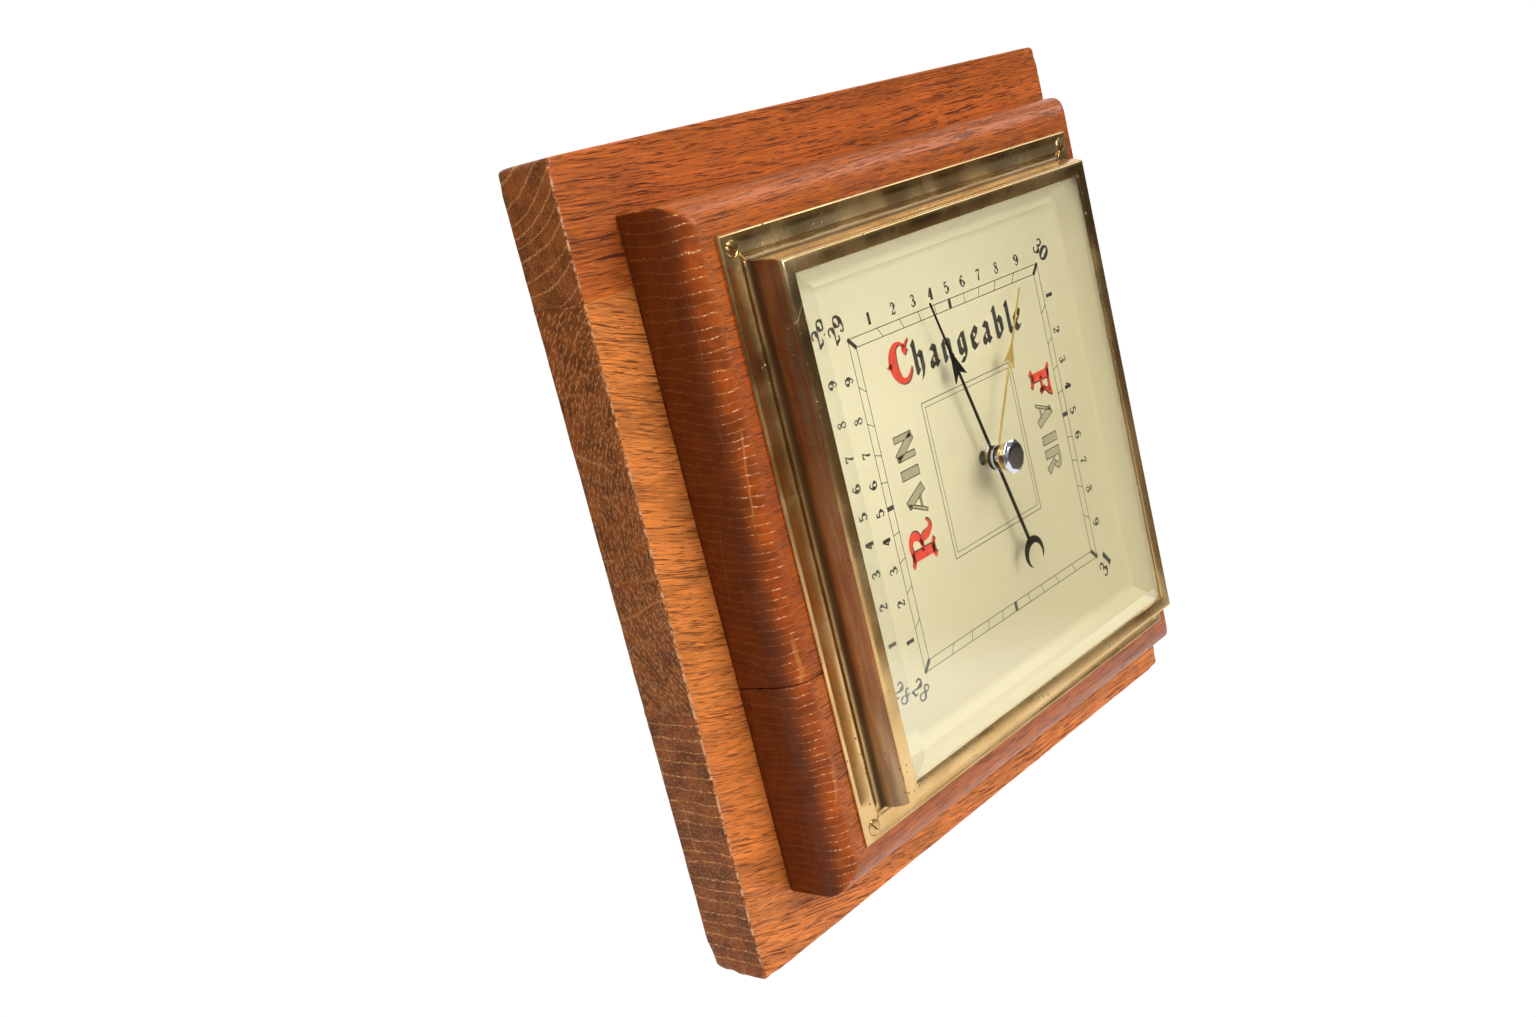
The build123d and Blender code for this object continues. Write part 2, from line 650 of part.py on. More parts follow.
with BuildPart() as rocker_brackets:
    for low, foot in ((16.9, 21.9), (-19.6, -22.1)):
        with BuildSketch(upward(low + 2.7)):
            with BuildLine():
                Polyline((37.4, PLATE_FRONT), (42.6, PLATE_FRONT), (42.6, ROCKER_DEPTH))
                ThreePointArc((42.6, ROCKER_DEPTH), (ROCKER_X, ROCKER_DEPTH + 2.6), (37.4, ROCKER_DEPTH))
                Line((37.4, ROCKER_DEPTH), (37.4, PLATE_FRONT))
            make_face()
            with Locations((ROCKER_X, ROCKER_DEPTH)):
                Circle(PIN_R + RUNNING, mode=Mode.SUBTRACT)
        extrude(amount=2.7)
    with BuildSketch(facing(PLATE_FRONT)):
        with Locations((ROCKER_X, 21.9), (ROCKER_X, -21.9)):
            Rectangle(5.2, 5.6)
        with Locations(*BRACKET_SCREWS):
            Circle(1.1, mode=Mode.SUBTRACT)
    extrude(amount=1.4)
save(rocker_brackets, "rocker_brackets")

bracket_screws = screws(facing(PLATE_FRONT + 1.4), BRACKET_SCREWS, 1.8, 1.1, 0.95, 3.2, 0.5, sunk=False)
save(bracket_screws, "bracket_screws")


# ---------------------------------------------------------------- arbor plates and pillars
def strap(depth, bore):
    with BuildPart() as plate:
        with BuildSketch(facing(depth)):
            SlotCenterToCenter(2 * PILLAR_Y, 9.0, rotation=90)
            Circle(7.0)
            Circle(bore, mode=Mode.SUBTRACT)
            with Locations(*PILLARS):
                Circle(1.3, mode=Mode.SUBTRACT)
        extrude(amount=STRAP_T)
    return plate


def pillars(low, high):
    with BuildPart() as pair:
        with BuildSketch(facing(low)):
            with Locations(*PILLARS):
                Circle(3.0)
                Circle(1.3, mode=Mode.SUBTRACT)
        extrude(amount=high - low)
    return pair


lower_strap = strap(STRAP_BACK, ARBOR_R + RUNNING)
save(lower_strap, "arbor_strap_lower")
lower_pillars = pillars(PLATE_FRONT, STRAP_BACK)
save(lower_pillars, "pillars_lower")
upper_pillars = pillars(STRAP_BACK + STRAP_T, TOP_STRAP_BACK)
save(upper_pillars, "pillars_upper")

with BuildPart() as upper_strap:
    add(strap(TOP_STRAP_BACK, ARBOR_R + RUNNING).part)
    with BuildSketch(facing(TOP_STRAP_BACK)):
        with Locations((0, STUD_REACH)):
            Circle(0.8)
    extrude(amount=STRAP_T, mode=Mode.SUBTRACT)
save(upper_strap, "arbor_strap_upper")

pillar_screws = screws(
    facing(TOP_STRAP_BACK + STRAP_T), PILLARS, 2.5, 1.4, 1.2, 18.0, 0.7, sunk=False)
save(pillar_screws, "pillar_screws")


# ---------------------------------------------------------------- hand arbor with its chain drum
with BuildPart() as hand_arbor:
    with BuildSketch(facing(STRAP_BACK - 0.6)):
        Circle(ARBOR_R)
    extrude(amount=HAND_DEPTH + HAND_T - STRAP_BACK + 0.6)
    with BuildSketch(facing(DRUM_DEPTH - 1.9)):
        Circle(3.6)
    extrude(amount=0.6)
    with BuildSketch(facing(DRUM_DEPTH - 1.9)):
        Circle(1.8)
    extrude(amount=3.8)
    with BuildSketch(facing(DRUM_DEPTH + 1.3)):
        Circle(3.6)
    extrude(amount=0.6)
    with BuildSketch(facing(DRUM_DEPTH + 1.9)):
        Circle(1.5)
    extrude(amount=1.7)
save(hand_arbor, "hand_arbor")

# the turns of chain wound on the drum
with BuildPart() as chain_turns:
    with BuildSketch(facing(DRUM_DEPTH - 1.2)):
        Circle(2.75)
        Circle(1.85, mode=Mode.SUBTRACT)
    extrude(amount=0.65)
save(chain_turns, "chain_turns")


# ---------------------------------------------------------------- chain: flat links on pins, with an end loop
LINK_PITCH = 1.9
LINKS = 18
with BuildPart() as chain:
    for i in range(LINKS):
        start = ROCKER_X - 2.0 - LINK_PITCH * (i + 1)
        outer = i % 2 == 0
        for side in ((-0.35, 0.13) if outer else (-0.11,)):
            with BuildSketch(facing(DRUM_DEPTH + side)):
                with Locations((start + LINK_PITCH / 2, -DRUM_R)):
                    SlotCenterToCenter(LINK_PITCH, 0.7)
            extrude(amount=0.22)
        with BuildSketch(facing(DRUM_DEPTH - 0.35)):
            with Locations((start, -DRUM_R), (start + LINK_PITCH, -DRUM_R)):
                Circle(0.17)
        extrude(amount=0.7)
    with BuildSketch(upward(-DRUM_R + 0.3)):
        with Locations((ROCKER_X, DRUM_DEPTH)):
            Circle(2.1)
            Circle(1.55, mode=Mode.SUBTRACT)
    extrude(amount=0.6)
save(chain, "chain")


# ---------------------------------------------------------------- hairspring, a flat spiral, and its stud
with BuildPart() as hairspring:
    turns = 4.25
    inner, outer = 1.9, STUD_REACH - 0.89
    steps = 60

    def coil(offset):
        points = []
        for i in range(steps + 1):
            a = math.radians(90) - 2 * math.pi * turns * (1 - i / steps)
            r = inner + (outer - inner) * i / steps + offset
            points.append((r * math.cos(a), r * math.sin(a)))
        return points

    with BuildSketch(facing(DRUM_DEPTH + 2.5)):
        with BuildLine():
            a_side = Spline(*coil(-0.09))
            b_side = Spline(*coil(0.09))
            Line(a_side @ 0, b_side @ 0)
            Line(a_side @ 1, b_side @ 1)
        make_face()
    extrude(amount=0.7)
save(hairspring, "hairspring")

with BuildPart() as hairspring_stud:
    with BuildSketch(facing(DRUM_DEPTH + 2.3)):
        with Locations((0, STUD_REACH)):
            Circle(0.8)
    extrude(amount=TOP_STRAP_BACK + STRAP_T - DRUM_DEPTH - 2.3)
save(hairspring_stud, "hairspring_stud")


# ---------------------------------------------------------------- pressure hand and its collet
with BuildPart() as pressure_hand:
    with BuildSketch(facing(HAND_DEPTH, HAND_ANGLE)):
        with BuildLine():
            Polyline(
                (-0.65, 0), (-0.5, 32), (-0.3, HAND_TIP), (0.3, HAND_TIP), (0.5, 32), (0.65, 0), close=True,
            )
        make_face()
        with BuildLine():
            Polyline((0, 40.6), (3.5, 30.0), (0.4, 32.4), (-0.4, 32.4), (-3.5, 30.0), close=True)
        make_face()
        Circle(4.0)
        with Locations((0, -17)):
            Rectangle(1.3, 32)
        with Locations((0, -37.7)):
            Circle(5.5)
        with Locations((0, -39.3)):
            Circle(4.4, mode=Mode.SUBTRACT)
        Circle(ARBOR_R + 0.02, mode=Mode.SUBTRACT)
    extrude(amount=HAND_T)
save(pressure_hand, "pressure_hand")

with BuildPart() as hand_collet:
    with BuildSketch(facing(HAND_DEPTH - 2.2)):
        Circle(2.1)
        Circle(ARBOR_R + 0.02, mode=Mode.SUBTRACT)
    extrude(amount=2.2)
save(hand_collet, "hand_collet")


# ---------------------------------------------------------------- set hand, spindle, washer and knob
with BuildPart() as set_hand:
    with BuildSketch(facing(SET_HAND_DEPTH, SET_HAND_ANGLE)):
        with BuildLine():
            Polyline((-0.5, 0), (-0.25, SET_HAND_TIP), (0.25, SET_HAND_TIP), (0.5, 0), close=True)
        make_face()
        with BuildLine():
            Polyline((0, 40.0), (3.0, 31.4), (0.4, 33.4), (-0.4, 33.4), (-3.0, 31.4), close=True)
        make_face()
        Circle(3.0)
    extrude(amount=SET_HAND_T)
save(set_hand, "set_hand")

BOSS_BACK = SET_HAND_DEPTH + SET_HAND_T
GLASS_BACK = GLASS_FRONT - GLASS_THICK
SPINDLE_END = KNOB_FRONT - 1.5
with BuildPart() as set_spindle:
    with BuildSketch(facing(BOSS_BACK)):
        Circle(SPINDLE_BOSS_R)
    extrude(amount=GLASS_BACK - 0.1 - BOSS_BACK)
    with BuildSketch(facing(BOSS_BACK)):
        Circle(SPINDLE_R)
    extrude(amount=SPINDLE_END - BOSS_BACK)
save(set_spindle, "set_spindle")

with BuildPart() as knob_washer:
    with BuildSketch(facing(GLASS_FRONT)):
        Circle(WASHER_R)
        Circle(SPINDLE_R + RUNNING, mode=Mode.SUBTRACT)
    extrude(amount=WASHER_T)
save(knob_washer, "knob_washer")

KNOB_BACK = GLASS_FRONT + WASHER_T + 0.1
with BuildPart() as knob:
    for back, back_r, front, front_r in (
        (KNOB_BACK, KNOB_NECK_R, KNOB_GIRDLE, KNOB_REACH), (KNOB_GIRDLE, KNOB_REACH, KNOB_FRONT, KNOB_FACE_R),
    ):
        with BuildSketch(facing(back)):
            RegularPolygon(back_r, KNOB_FLATS)
        with BuildSketch(facing(front)):
            RegularPolygon(front_r, KNOB_FLATS)
        loft()
    with BuildSketch(facing(KNOB_BACK)):
        Circle(SPINDLE_R)
    extrude(amount=SPINDLE_END - KNOB_BACK, mode=Mode.SUBTRACT)
save(knob, "knob")


# ---------------------------------------------------------------- hanging plate and its screws
with BuildPart() as hanger_plate:
    with BuildSketch(facing(0)):
        with Locations((0, HANGER_Z + 1)):
            RectangleRounded(*HANGER_SIZE)
        with Locations((0, HANGER_Z)):
            Circle(EYE_R, mode=Mode.SUBTRACT)
        with Locations((0, (HANGER_Z + SLOT_TOP_Z) / 2)):
            SlotCenterToCenter(SLOT_TOP_Z - HANGER_Z, 2 * SLOT_HALF, rotation=90, mode=Mode.SUBTRACT)
    extrude(amount=HANGER_T)
    with BuildPart(backward(0), mode=Mode.SUBTRACT):
        with Locations(*[(x, -z) for x, z in HANGER_SCREWS]):
            Cone(1.4, 2.9, HANGER_T, align=(Align.CENTER, Align.CENTER, Align.MAX))
save(hanger_plate, "hanger_plate")

with BuildPart(backward(0)) as hanger_screws:
    with Locations(*[(x, -z) for x, z in HANGER_SCREWS]):
        Cylinder(1.3, 13.0, align=(Align.CENTER, Align.CENTER, Align.MAX))
        Cone(1.3, 2.8, HANGER_T, align=(Align.CENTER, Align.CENTER, Align.MAX))
        Box(6.0, 0.7, 1.2, rotation=(0, 0, 40), mode=Mode.SUBTRACT)
save(hanger_screws, "hanger_screws")
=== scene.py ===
import json
import math

import bmesh
import bpy
from mathutils import Matrix, Vector, noise


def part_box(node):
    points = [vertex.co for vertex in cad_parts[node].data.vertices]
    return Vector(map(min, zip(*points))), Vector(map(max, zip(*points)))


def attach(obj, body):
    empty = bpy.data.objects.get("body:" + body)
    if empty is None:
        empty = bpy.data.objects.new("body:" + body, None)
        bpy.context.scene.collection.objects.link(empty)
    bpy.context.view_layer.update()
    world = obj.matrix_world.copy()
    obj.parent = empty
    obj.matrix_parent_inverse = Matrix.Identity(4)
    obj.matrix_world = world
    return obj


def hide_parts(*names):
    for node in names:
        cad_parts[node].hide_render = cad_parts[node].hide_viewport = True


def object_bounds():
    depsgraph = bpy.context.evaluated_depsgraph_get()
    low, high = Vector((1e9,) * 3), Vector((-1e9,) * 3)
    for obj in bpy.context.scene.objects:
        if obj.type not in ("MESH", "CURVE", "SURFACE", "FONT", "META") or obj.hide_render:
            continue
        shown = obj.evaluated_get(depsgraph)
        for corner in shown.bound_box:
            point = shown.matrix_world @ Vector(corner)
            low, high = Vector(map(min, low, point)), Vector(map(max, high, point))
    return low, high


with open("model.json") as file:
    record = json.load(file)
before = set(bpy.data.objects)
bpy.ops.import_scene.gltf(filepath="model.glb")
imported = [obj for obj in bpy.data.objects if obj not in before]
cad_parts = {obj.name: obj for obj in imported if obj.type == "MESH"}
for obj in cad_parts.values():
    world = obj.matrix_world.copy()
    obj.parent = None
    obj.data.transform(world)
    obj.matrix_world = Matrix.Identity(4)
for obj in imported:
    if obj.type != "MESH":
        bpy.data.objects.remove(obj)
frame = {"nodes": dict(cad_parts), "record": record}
CAD_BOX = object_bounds()
MM = 0.001

# The object hangs on a wall: X runs to the right, Z up, and the dial faces -Y. Lengths are in millimetres
# unless said otherwise. A "depth" is a distance in front of the wall, and a "reach" a half-width from the
# hands' axis.


def node_box(node):
    """A CAD node's lowest and highest corners in millimetres."""
    return [tuple(v / MM for v in corner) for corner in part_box(node)]


def depths(node):
    """(back, front) depth of a CAD node."""
    low, high = node_box(node)
    return -high[1], -low[1]


def reach(node):
    return node_box(node)[1][0]


BOARD_REACH = reach("board_plank_top")
BOARD_FRONT = depths("board_plank_top")[1]
BLOCK_REACH = reach("block_plank_middle")
BLOCK_FRONT = depths("block_plank_top")[1]
BLOCK_ROUND = 9.4
BEZEL_FRONT = depths("bezel")[1]
GLASS_REACH = reach("glass")
DIAL_SHEET = 0.8
DIAL_BACK, DIAL_RIM_DEPTH = depths("dial")
DIAL_FACE = DIAL_BACK + DIAL_SHEET
DIAL_FLAT = 70.5
DIAL_RIM = 78.5
CASE_HOLE_R = 55.6
SCREW_REACH = 88.9


def point(x, depth, z):
    return Vector((x, -depth, z)) * MM


def wander(x, y, z, size, seed=0.0):
    """Smooth noise between about -1 and 1, with features of the given size."""
    return noise.noise(Vector((x / size + seed, y / size - seed, z / size + 2.3 * seed)))


# ---- mesh helpers
def add_object(name, mesh):
    obj = bpy.data.objects.new(name, mesh)
    bpy.context.scene.collection.objects.link(obj)
    return obj


def tool(points, faces, name="tool"):
    """A welded mesh that belongs to nothing yet."""
    mesh = bpy.data.meshes.new(name)
    mesh.from_pydata(points, [], faces)
    mesh.validate()
    weld(mesh)
    return add_object(name, mesh)


def new_piece(name, points, faces, look, body="body", slot=None, replaces=(), sharp=38.0):
    """A mesh piece, smooth apart from edges sharper than `sharp` degrees."""
    return finish_piece(tool(points, faces, name), look, body, replaces, sharp)


def weld(mesh, distance=0.004 * MM):
    edit = bmesh.new()
    edit.from_mesh(mesh)
    bmesh.ops.remove_doubles(edit, verts=edit.verts, dist=distance)
    bmesh.ops.dissolve_degenerate(edit, edges=edit.edges, dist=distance)
    bmesh.ops.recalc_face_normals(edit, faces=edit.faces)
    edit.to_mesh(mesh)
    edit.free()


def finish_piece(obj, look, body, replaces, sharp):
    obj.data.materials.clear()
    obj.data.materials.append(looks[look])
    shade(obj.data, sharp)
    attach(obj, body)
    if replaces:
        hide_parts(*replaces)
    return obj


def shade(mesh, sharp):
    mesh.shade_smooth()
    mesh.set_sharp_from_angle(angle=math.radians(sharp))


def cut(obj, cutter):
    """Takes the cutter away from the piece and deletes it."""
    change = obj.modifiers.new("cut", "BOOLEAN")
    change.operation = "DIFFERENCE"
    change.solver = "EXACT"
    change.object = cutter
    apply_modifiers(obj)
    bpy.data.objects.remove(cutter)


def soften(obj, width, segments, angle):
    """Rounds the edges sharper than an angle in degrees."""
    change = obj.modifiers.new("soften", "BEVEL")
    change.width = width * MM
    change.segments = segments
    change.angle_limit = math.radians(angle)
    return change


def apply_modifiers(obj):
    bpy.context.view_layer.update()
    seen = obj.evaluated_get(bpy.context.evaluated_depsgraph_get())
    mesh = bpy.data.meshes.new_from_object(seen)
    obj.modifiers.clear()
    obj.data = mesh


def bridge(first, second, count):
    """Faces between two closed rings of points, given by the index that each starts at."""
    steps = [(k, (k + 1) % count) for k in range(count)]
    return [(first + k, first + m, second + m, second + k) for k, m in steps]


def tube(loops, count, caps=True):
    """Faces along closed rings of points that follow each other, with or without a cap at each end."""
    faces = []
    for i in range(loops - 1):
        faces += bridge(i * count, (i + 1) * count, count)
    if caps:
        faces += [tuple(range(count)), tuple(range((loops - 1) * count, loops * count))]
    return faces


def rings(outline, centre=(0.0, 0.0), steps=40, turn=0.0):
    """Points of rings that face forward, from (radius, depth) pairs."""
    points = []
    for radius, depth in outline:
        for k in range(steps):
            a = 2 * math.pi * k / steps + turn
            points.append(point(centre[0] + radius * math.cos(a), depth, centre[1] + radius * math.sin(a)))
    return points


def lathe(outline, centre=(0.0, 0.0), steps=40):
    """Points and faces of a form turned about a forward axis, from (radius, depth) pairs."""
    return rings(outline, centre, steps), tube(len(outline), steps)


def bar(centre, size, angle=0.0):
    """Points and faces of a box, `size` along the wall by depth by height, turned by an angle."""
    x0, d0, z0 = centre
    points = []
    for i in (-0.5, 0.5):
        for j in (-0.5, 0.5):
            for k in (-0.5, 0.5):
                u, w = i * size[0], k * size[2]
                x = u * math.cos(angle) - w * math.sin(angle)
                z = u * math.sin(angle) + w * math.cos(angle)
                points.append(point(x0 + x, d0 + j * size[1], z0 + z))
    faces = [(0, 1, 3, 2), (4, 6, 7, 5), (0, 4, 5, 1), (2, 3, 7, 6), (0, 2, 6, 4), (1, 5, 7, 3)]
    return points, faces


def joined(parts):
    """One list of points and faces from several."""
    points, faces = [], []
    for more_points, more_faces in parts:
        base = len(points)
        points += more_points
        faces += [tuple(base + i for i in f) for f in more_faces]
    return points, faces


def arc(start, middle, end, steps):
    """Points along the circular arc through three points, without its last one."""
    (ax, ay), (bx, by), (cx, cy) = start, middle, end
    d = 2 * (ax * (by - cy) + bx * (cy - ay) + cx * (ay - by))
    a2, b2, c2 = ax**2 + ay**2, bx**2 + by**2, cx**2 + cy**2
    ux = (a2 * (by - cy) + b2 * (cy - ay) + c2 * (ay - by)) / d
    uy = (a2 * (cx - bx) + b2 * (ax - cx) + c2 * (bx - ax)) / d
    radius = math.hypot(ax - ux, ay - uy)
    a0 = math.atan2(ay - uy, ax - ux)
    turn = (math.atan2(cy - uy, cx - ux) - a0) % (2 * math.pi)
    if (math.atan2(by - uy, bx - ux) - a0) % (2 * math.pi) > turn:
        turn -= 2 * math.pi
    angles = [a0 + turn * i / steps for i in range(steps)]
    return [(ux + radius * math.cos(a), uy + radius * math.sin(a)) for a in angles]


def square_loops(profile, along, shift=None):
    """A mitred square frame swept from a profile of (reach, depth) pairs, as points and faces."""
    points = []
    for half, depth in profile:
        for k in range(4 * along):
            side, step = divmod(k, along)
            t = 2 * step / along - 1
            x, z = ((-t, 1), (-1, -t), (t, -1), (1, t))[side]
            out, lift = shift(x * half, z * half, depth) if shift else (0.0, 0.0)
            points.append(point(x * (half + out), depth + lift, z * (half + out)))
    return points, tube(len(profile), 4 * along, caps=False)


def near_ends(low, high, fine, step=3.0):
    """Stations from low to high, close together near both ends and about `step` apart between."""
    inner_low, inner_high = low + fine[-1], high - fine[-1]
    count = max(1, round((inner_high - inner_low) / step))
    middle = [inner_low + (inner_high - inner_low) * i / count for i in range(count + 1)]
    return [low + f for f in fine[:-1]] + middle + [high - f for f in reversed(fine[:-1])]


def box_skin(*stations):
    """Points and faces of a box's skin, a grid on each face, from the grid's stations on X, Y and Z."""
    index, points, faces = {}, [], []

    def corner(cell):
        if cell not in index:
            index[cell] = len(points)
            points.append(tuple(places[i] for places, i in zip(stations, cell)))
        return index[cell]

    last = [len(places) - 1 for places in stations]
    for fixed, first, second in ((1, 0, 2), (2, 0, 1), (0, 1, 2)):
        for a in range(last[first]):
            for b in range(last[second]):
                for end in (0, last[fixed]):
                    face = []
                    for step_a, step_b in ((0, 0), (1, 0), (1, 1), (0, 1)):
                        cell = {fixed: end, first: a + step_a, second: b + step_b}
                        face.append(corner((cell[0], cell[1], cell[2])))
                    faces.append(tuple(face))
    return points, faces


def round_box_point(p, low, high, radii):
    """Moves a point of a box's skin onto the box with rounded edges. radii has one per axis and end."""
    inside, offset = [], []
    for axis in range(3):
        r0, r1 = radii[axis]
        q = min(max(p[axis], low[axis] + r0), high[axis] - r1)
        radius = r0 if p[axis] < q else r1
        inside.append(q)
        offset.append(((p[axis] - q) / radius, radius))
    length = math.sqrt(sum(o * o for o, _ in offset))
    if length < 1e-9:
        return p
    largest = max(abs(o) for o, _ in offset)
    return tuple(q + r * o * largest / length for q, (o, r) in zip(inside, offset))


# ---- shader helpers
class Value:
    """Something that varies over a surface. Arithmetic on it adds Math nodes to its material."""

    def __init__(self, shader, socket):
        self.shader, self.socket = shader, socket

    def __rsub__(self, other):
        return self.shader.math("SUBTRACT", other, self)

    def __neg__(self):
        return self * -1.0

    def __abs__(self):
        return self.shader.math("ABSOLUTE", self)


def arithmetic(operation):
    return lambda a, b: a.shader.math(operation, a, b)


Value.__add__ = arithmetic("ADD")
Value.__sub__ = arithmetic("SUBTRACT")
Value.__mul__ = arithmetic("MULTIPLY")
Value.__truediv__ = arithmetic("DIVIDE")
Value.__pow__ = arithmetic("POWER")


class Nodes:
    """Builds the nodes of a material or world with few words."""

    def __init__(self, owner, output):
        owner.use_nodes = True
        self.tree = owner.node_tree
        self.tree.nodes.clear()
        self.output = self.node(output)

    def node(self, kind, **settings):
        made = self.tree.nodes.new(kind)
        for key, value in settings.items():
            setattr(made, key, value)
        return made

    def put(self, socket, value):
        """Links a value to a socket, or sets the socket to a plain number, vector or colour."""
        if isinstance(value, Value):
            value = value.socket
        if isinstance(value, bpy.types.NodeSocket):
            self.tree.links.new(value, socket)
        elif isinstance(value, tuple) and socket.type == "RGBA":
            socket.default_value = (*value, 1.0)
        else:
            socket.default_value = value

    def fill(self, node, output, **inputs):
        """Fills a node's inputs by name and gives one of its outputs."""
        for key, value in inputs.items():
            self.put(node.inputs[key.replace("_", " ")], value)
        return Value(self, node.outputs[output])

    def math(self, operation, *values):
        n = self.node("ShaderNodeMath", operation=operation)
        for socket, value in zip(n.inputs, values):
            self.put(socket, value)
        return Value(self, n.outputs[0])

    def vector(self, operation, *values, scale=None):
        n = self.node("ShaderNodeVectorMath", operation=operation)
        for socket, value in zip(n.inputs, values):
            self.put(socket, value)
        if scale is not None:
            self.put(n.inputs["Scale"], scale)
        return Value(self, n.outputs["Value" if operation in ("LENGTH", "DOT_PRODUCT") else "Vector"])

    def axes(self, vector):
        n = self.node("ShaderNodeSeparateXYZ")
        self.put(n.inputs[0], vector)
        return [Value(self, axis) for axis in n.outputs]

    def join(self, x, y, z):
        return self.fill(self.node("ShaderNodeCombineXYZ"), 0, X=x, Y=y, Z=z)

    def noise(self, where, detail, rough=0.5, output="Fac"):
        n = self.node("ShaderNodeTexNoise")
        return self.fill(n, output, Vector=where, Scale=1.0, Detail=detail, Roughness=rough)

    def cells(self, where, scale=1.0):
        """Distance to the nearest of some scattered points."""
        return self.fill(self.node("ShaderNodeTexVoronoi"), "Distance", Vector=where, Scale=scale)

    def band(self, value, low, high, to_low=0.0, to_high=1.0):
        """value eased from to_low at low to to_high at high, and held beyond."""
        n = self.node("ShaderNodeMapRange", interpolation_type="SMOOTHSTEP")
        self.put(n.inputs["Value"], value)
        return self.fill(n, 0, From_Min=low, From_Max=high, To_Min=to_low, To_Max=to_high)

    def fade(self, value, low, high):
        """1 up to low, eased to 0 at high."""
        return self.band(value, low, high, 1.0, 0.0)

    def mix(self, share, a, b):
        n = self.node("ShaderNodeMix", data_type="RGBA")
        for i, value in ((0, share), (6, a), (7, b)):
            self.put(n.inputs[i], value)
        return Value(self, n.outputs[2])

    def over(self, colour, *layers):
        """A colour under layers of (share, colour)."""
        for share, top in layers:
            colour = self.mix(share, colour, top)
        return colour

    def bump(self, height, distance, strength, below=None):
        n = self.node("ShaderNodeBump")
        if below is not None:
            self.put(n.inputs["Normal"], below)
        return self.fill(n, 0, Height=height, Distance=distance * MM, Strength=strength)

    def light(self, kind, colour, strength):
        """An emission or background shader."""
        n = self.node(kind)
        self.fill(n, 0, Color=colour, Strength=strength)
        return n

    def split_rays(self, kind, usual, other):
        """Shows one shader to most rays, and another to rays of one kind."""
        share = self.node("ShaderNodeLightPath").outputs[kind]
        both = self.node("ShaderNodeMixShader")
        for socket, source in zip(both.inputs, (share, usual.outputs[0], other.outputs[0])):
            self.put(socket, source)
        self.put(self.output.inputs["Surface"], both.outputs[0])


class Shader(Nodes):
    """A material made of one principled shader. Its places are in millimetres."""

    SOCKETS = {
        "colour": "Base Color", "roughness": "Roughness", "metallic": "Metallic", "coat": "Coat Weight",
        "coat_roughness": "Coat Roughness", "normal": "Normal", "specular": "Specular IOR Level",
        "transmission": "Transmission Weight", "ior": "IOR", "coat_normal": "Coat Normal",
        "glow": "Emission Color", "glow_strength": "Emission Strength",
    }

    def __init__(self, name):
        self.material = bpy.data.materials.new(name)
        super().__init__(self.material, "ShaderNodeOutputMaterial")
        self.surface = self.node("ShaderNodeBsdfPrincipled")
        self.put(self.output.inputs["Surface"], self.surface.outputs[0])
        coordinate = self.node("ShaderNodeTexCoord")
        self.place = self.vector("SCALE", coordinate.outputs["Object"], scale=1 / MM)
        self.normal = self.node("ShaderNodeNewGeometry").outputs["Normal"]

    def stretch(self, x, y, z, offset=(0.0, 0.0, 0.0)):
        """The place divided by a size along each axis."""
        n = self.node("ShaderNodeMapping")
        return self.fill(n, 0, Vector=self.place, Scale=(1 / x, 1 / y, 1 / z), Location=offset)

    def cloud(self, size, detail, rough=0.5, offset=(0.0, 0.0, 0.0)):
        """Noise with features of one size in every direction."""
        return self.noise(self.stretch(size, size, size, offset), detail, rough)

    def set(self, **values):
        for key, value in values.items():
            self.put(self.surface.inputs[self.SOCKETS[key]], value)
        return self.material


def srgb(r, g, b):
    """A colour from its sRGB numbers, 0 to 255, to the linear numbers a shader takes."""
    return tuple((v / 255 / 12.92) if v < 10 else ((v / 255 + 0.055) / 1.055) ** 2.4 for v in (r, g, b))


def toned(colour, share):
    """A colour made darker or lighter."""
    return tuple(min(1.0, c * share) for c in colour)


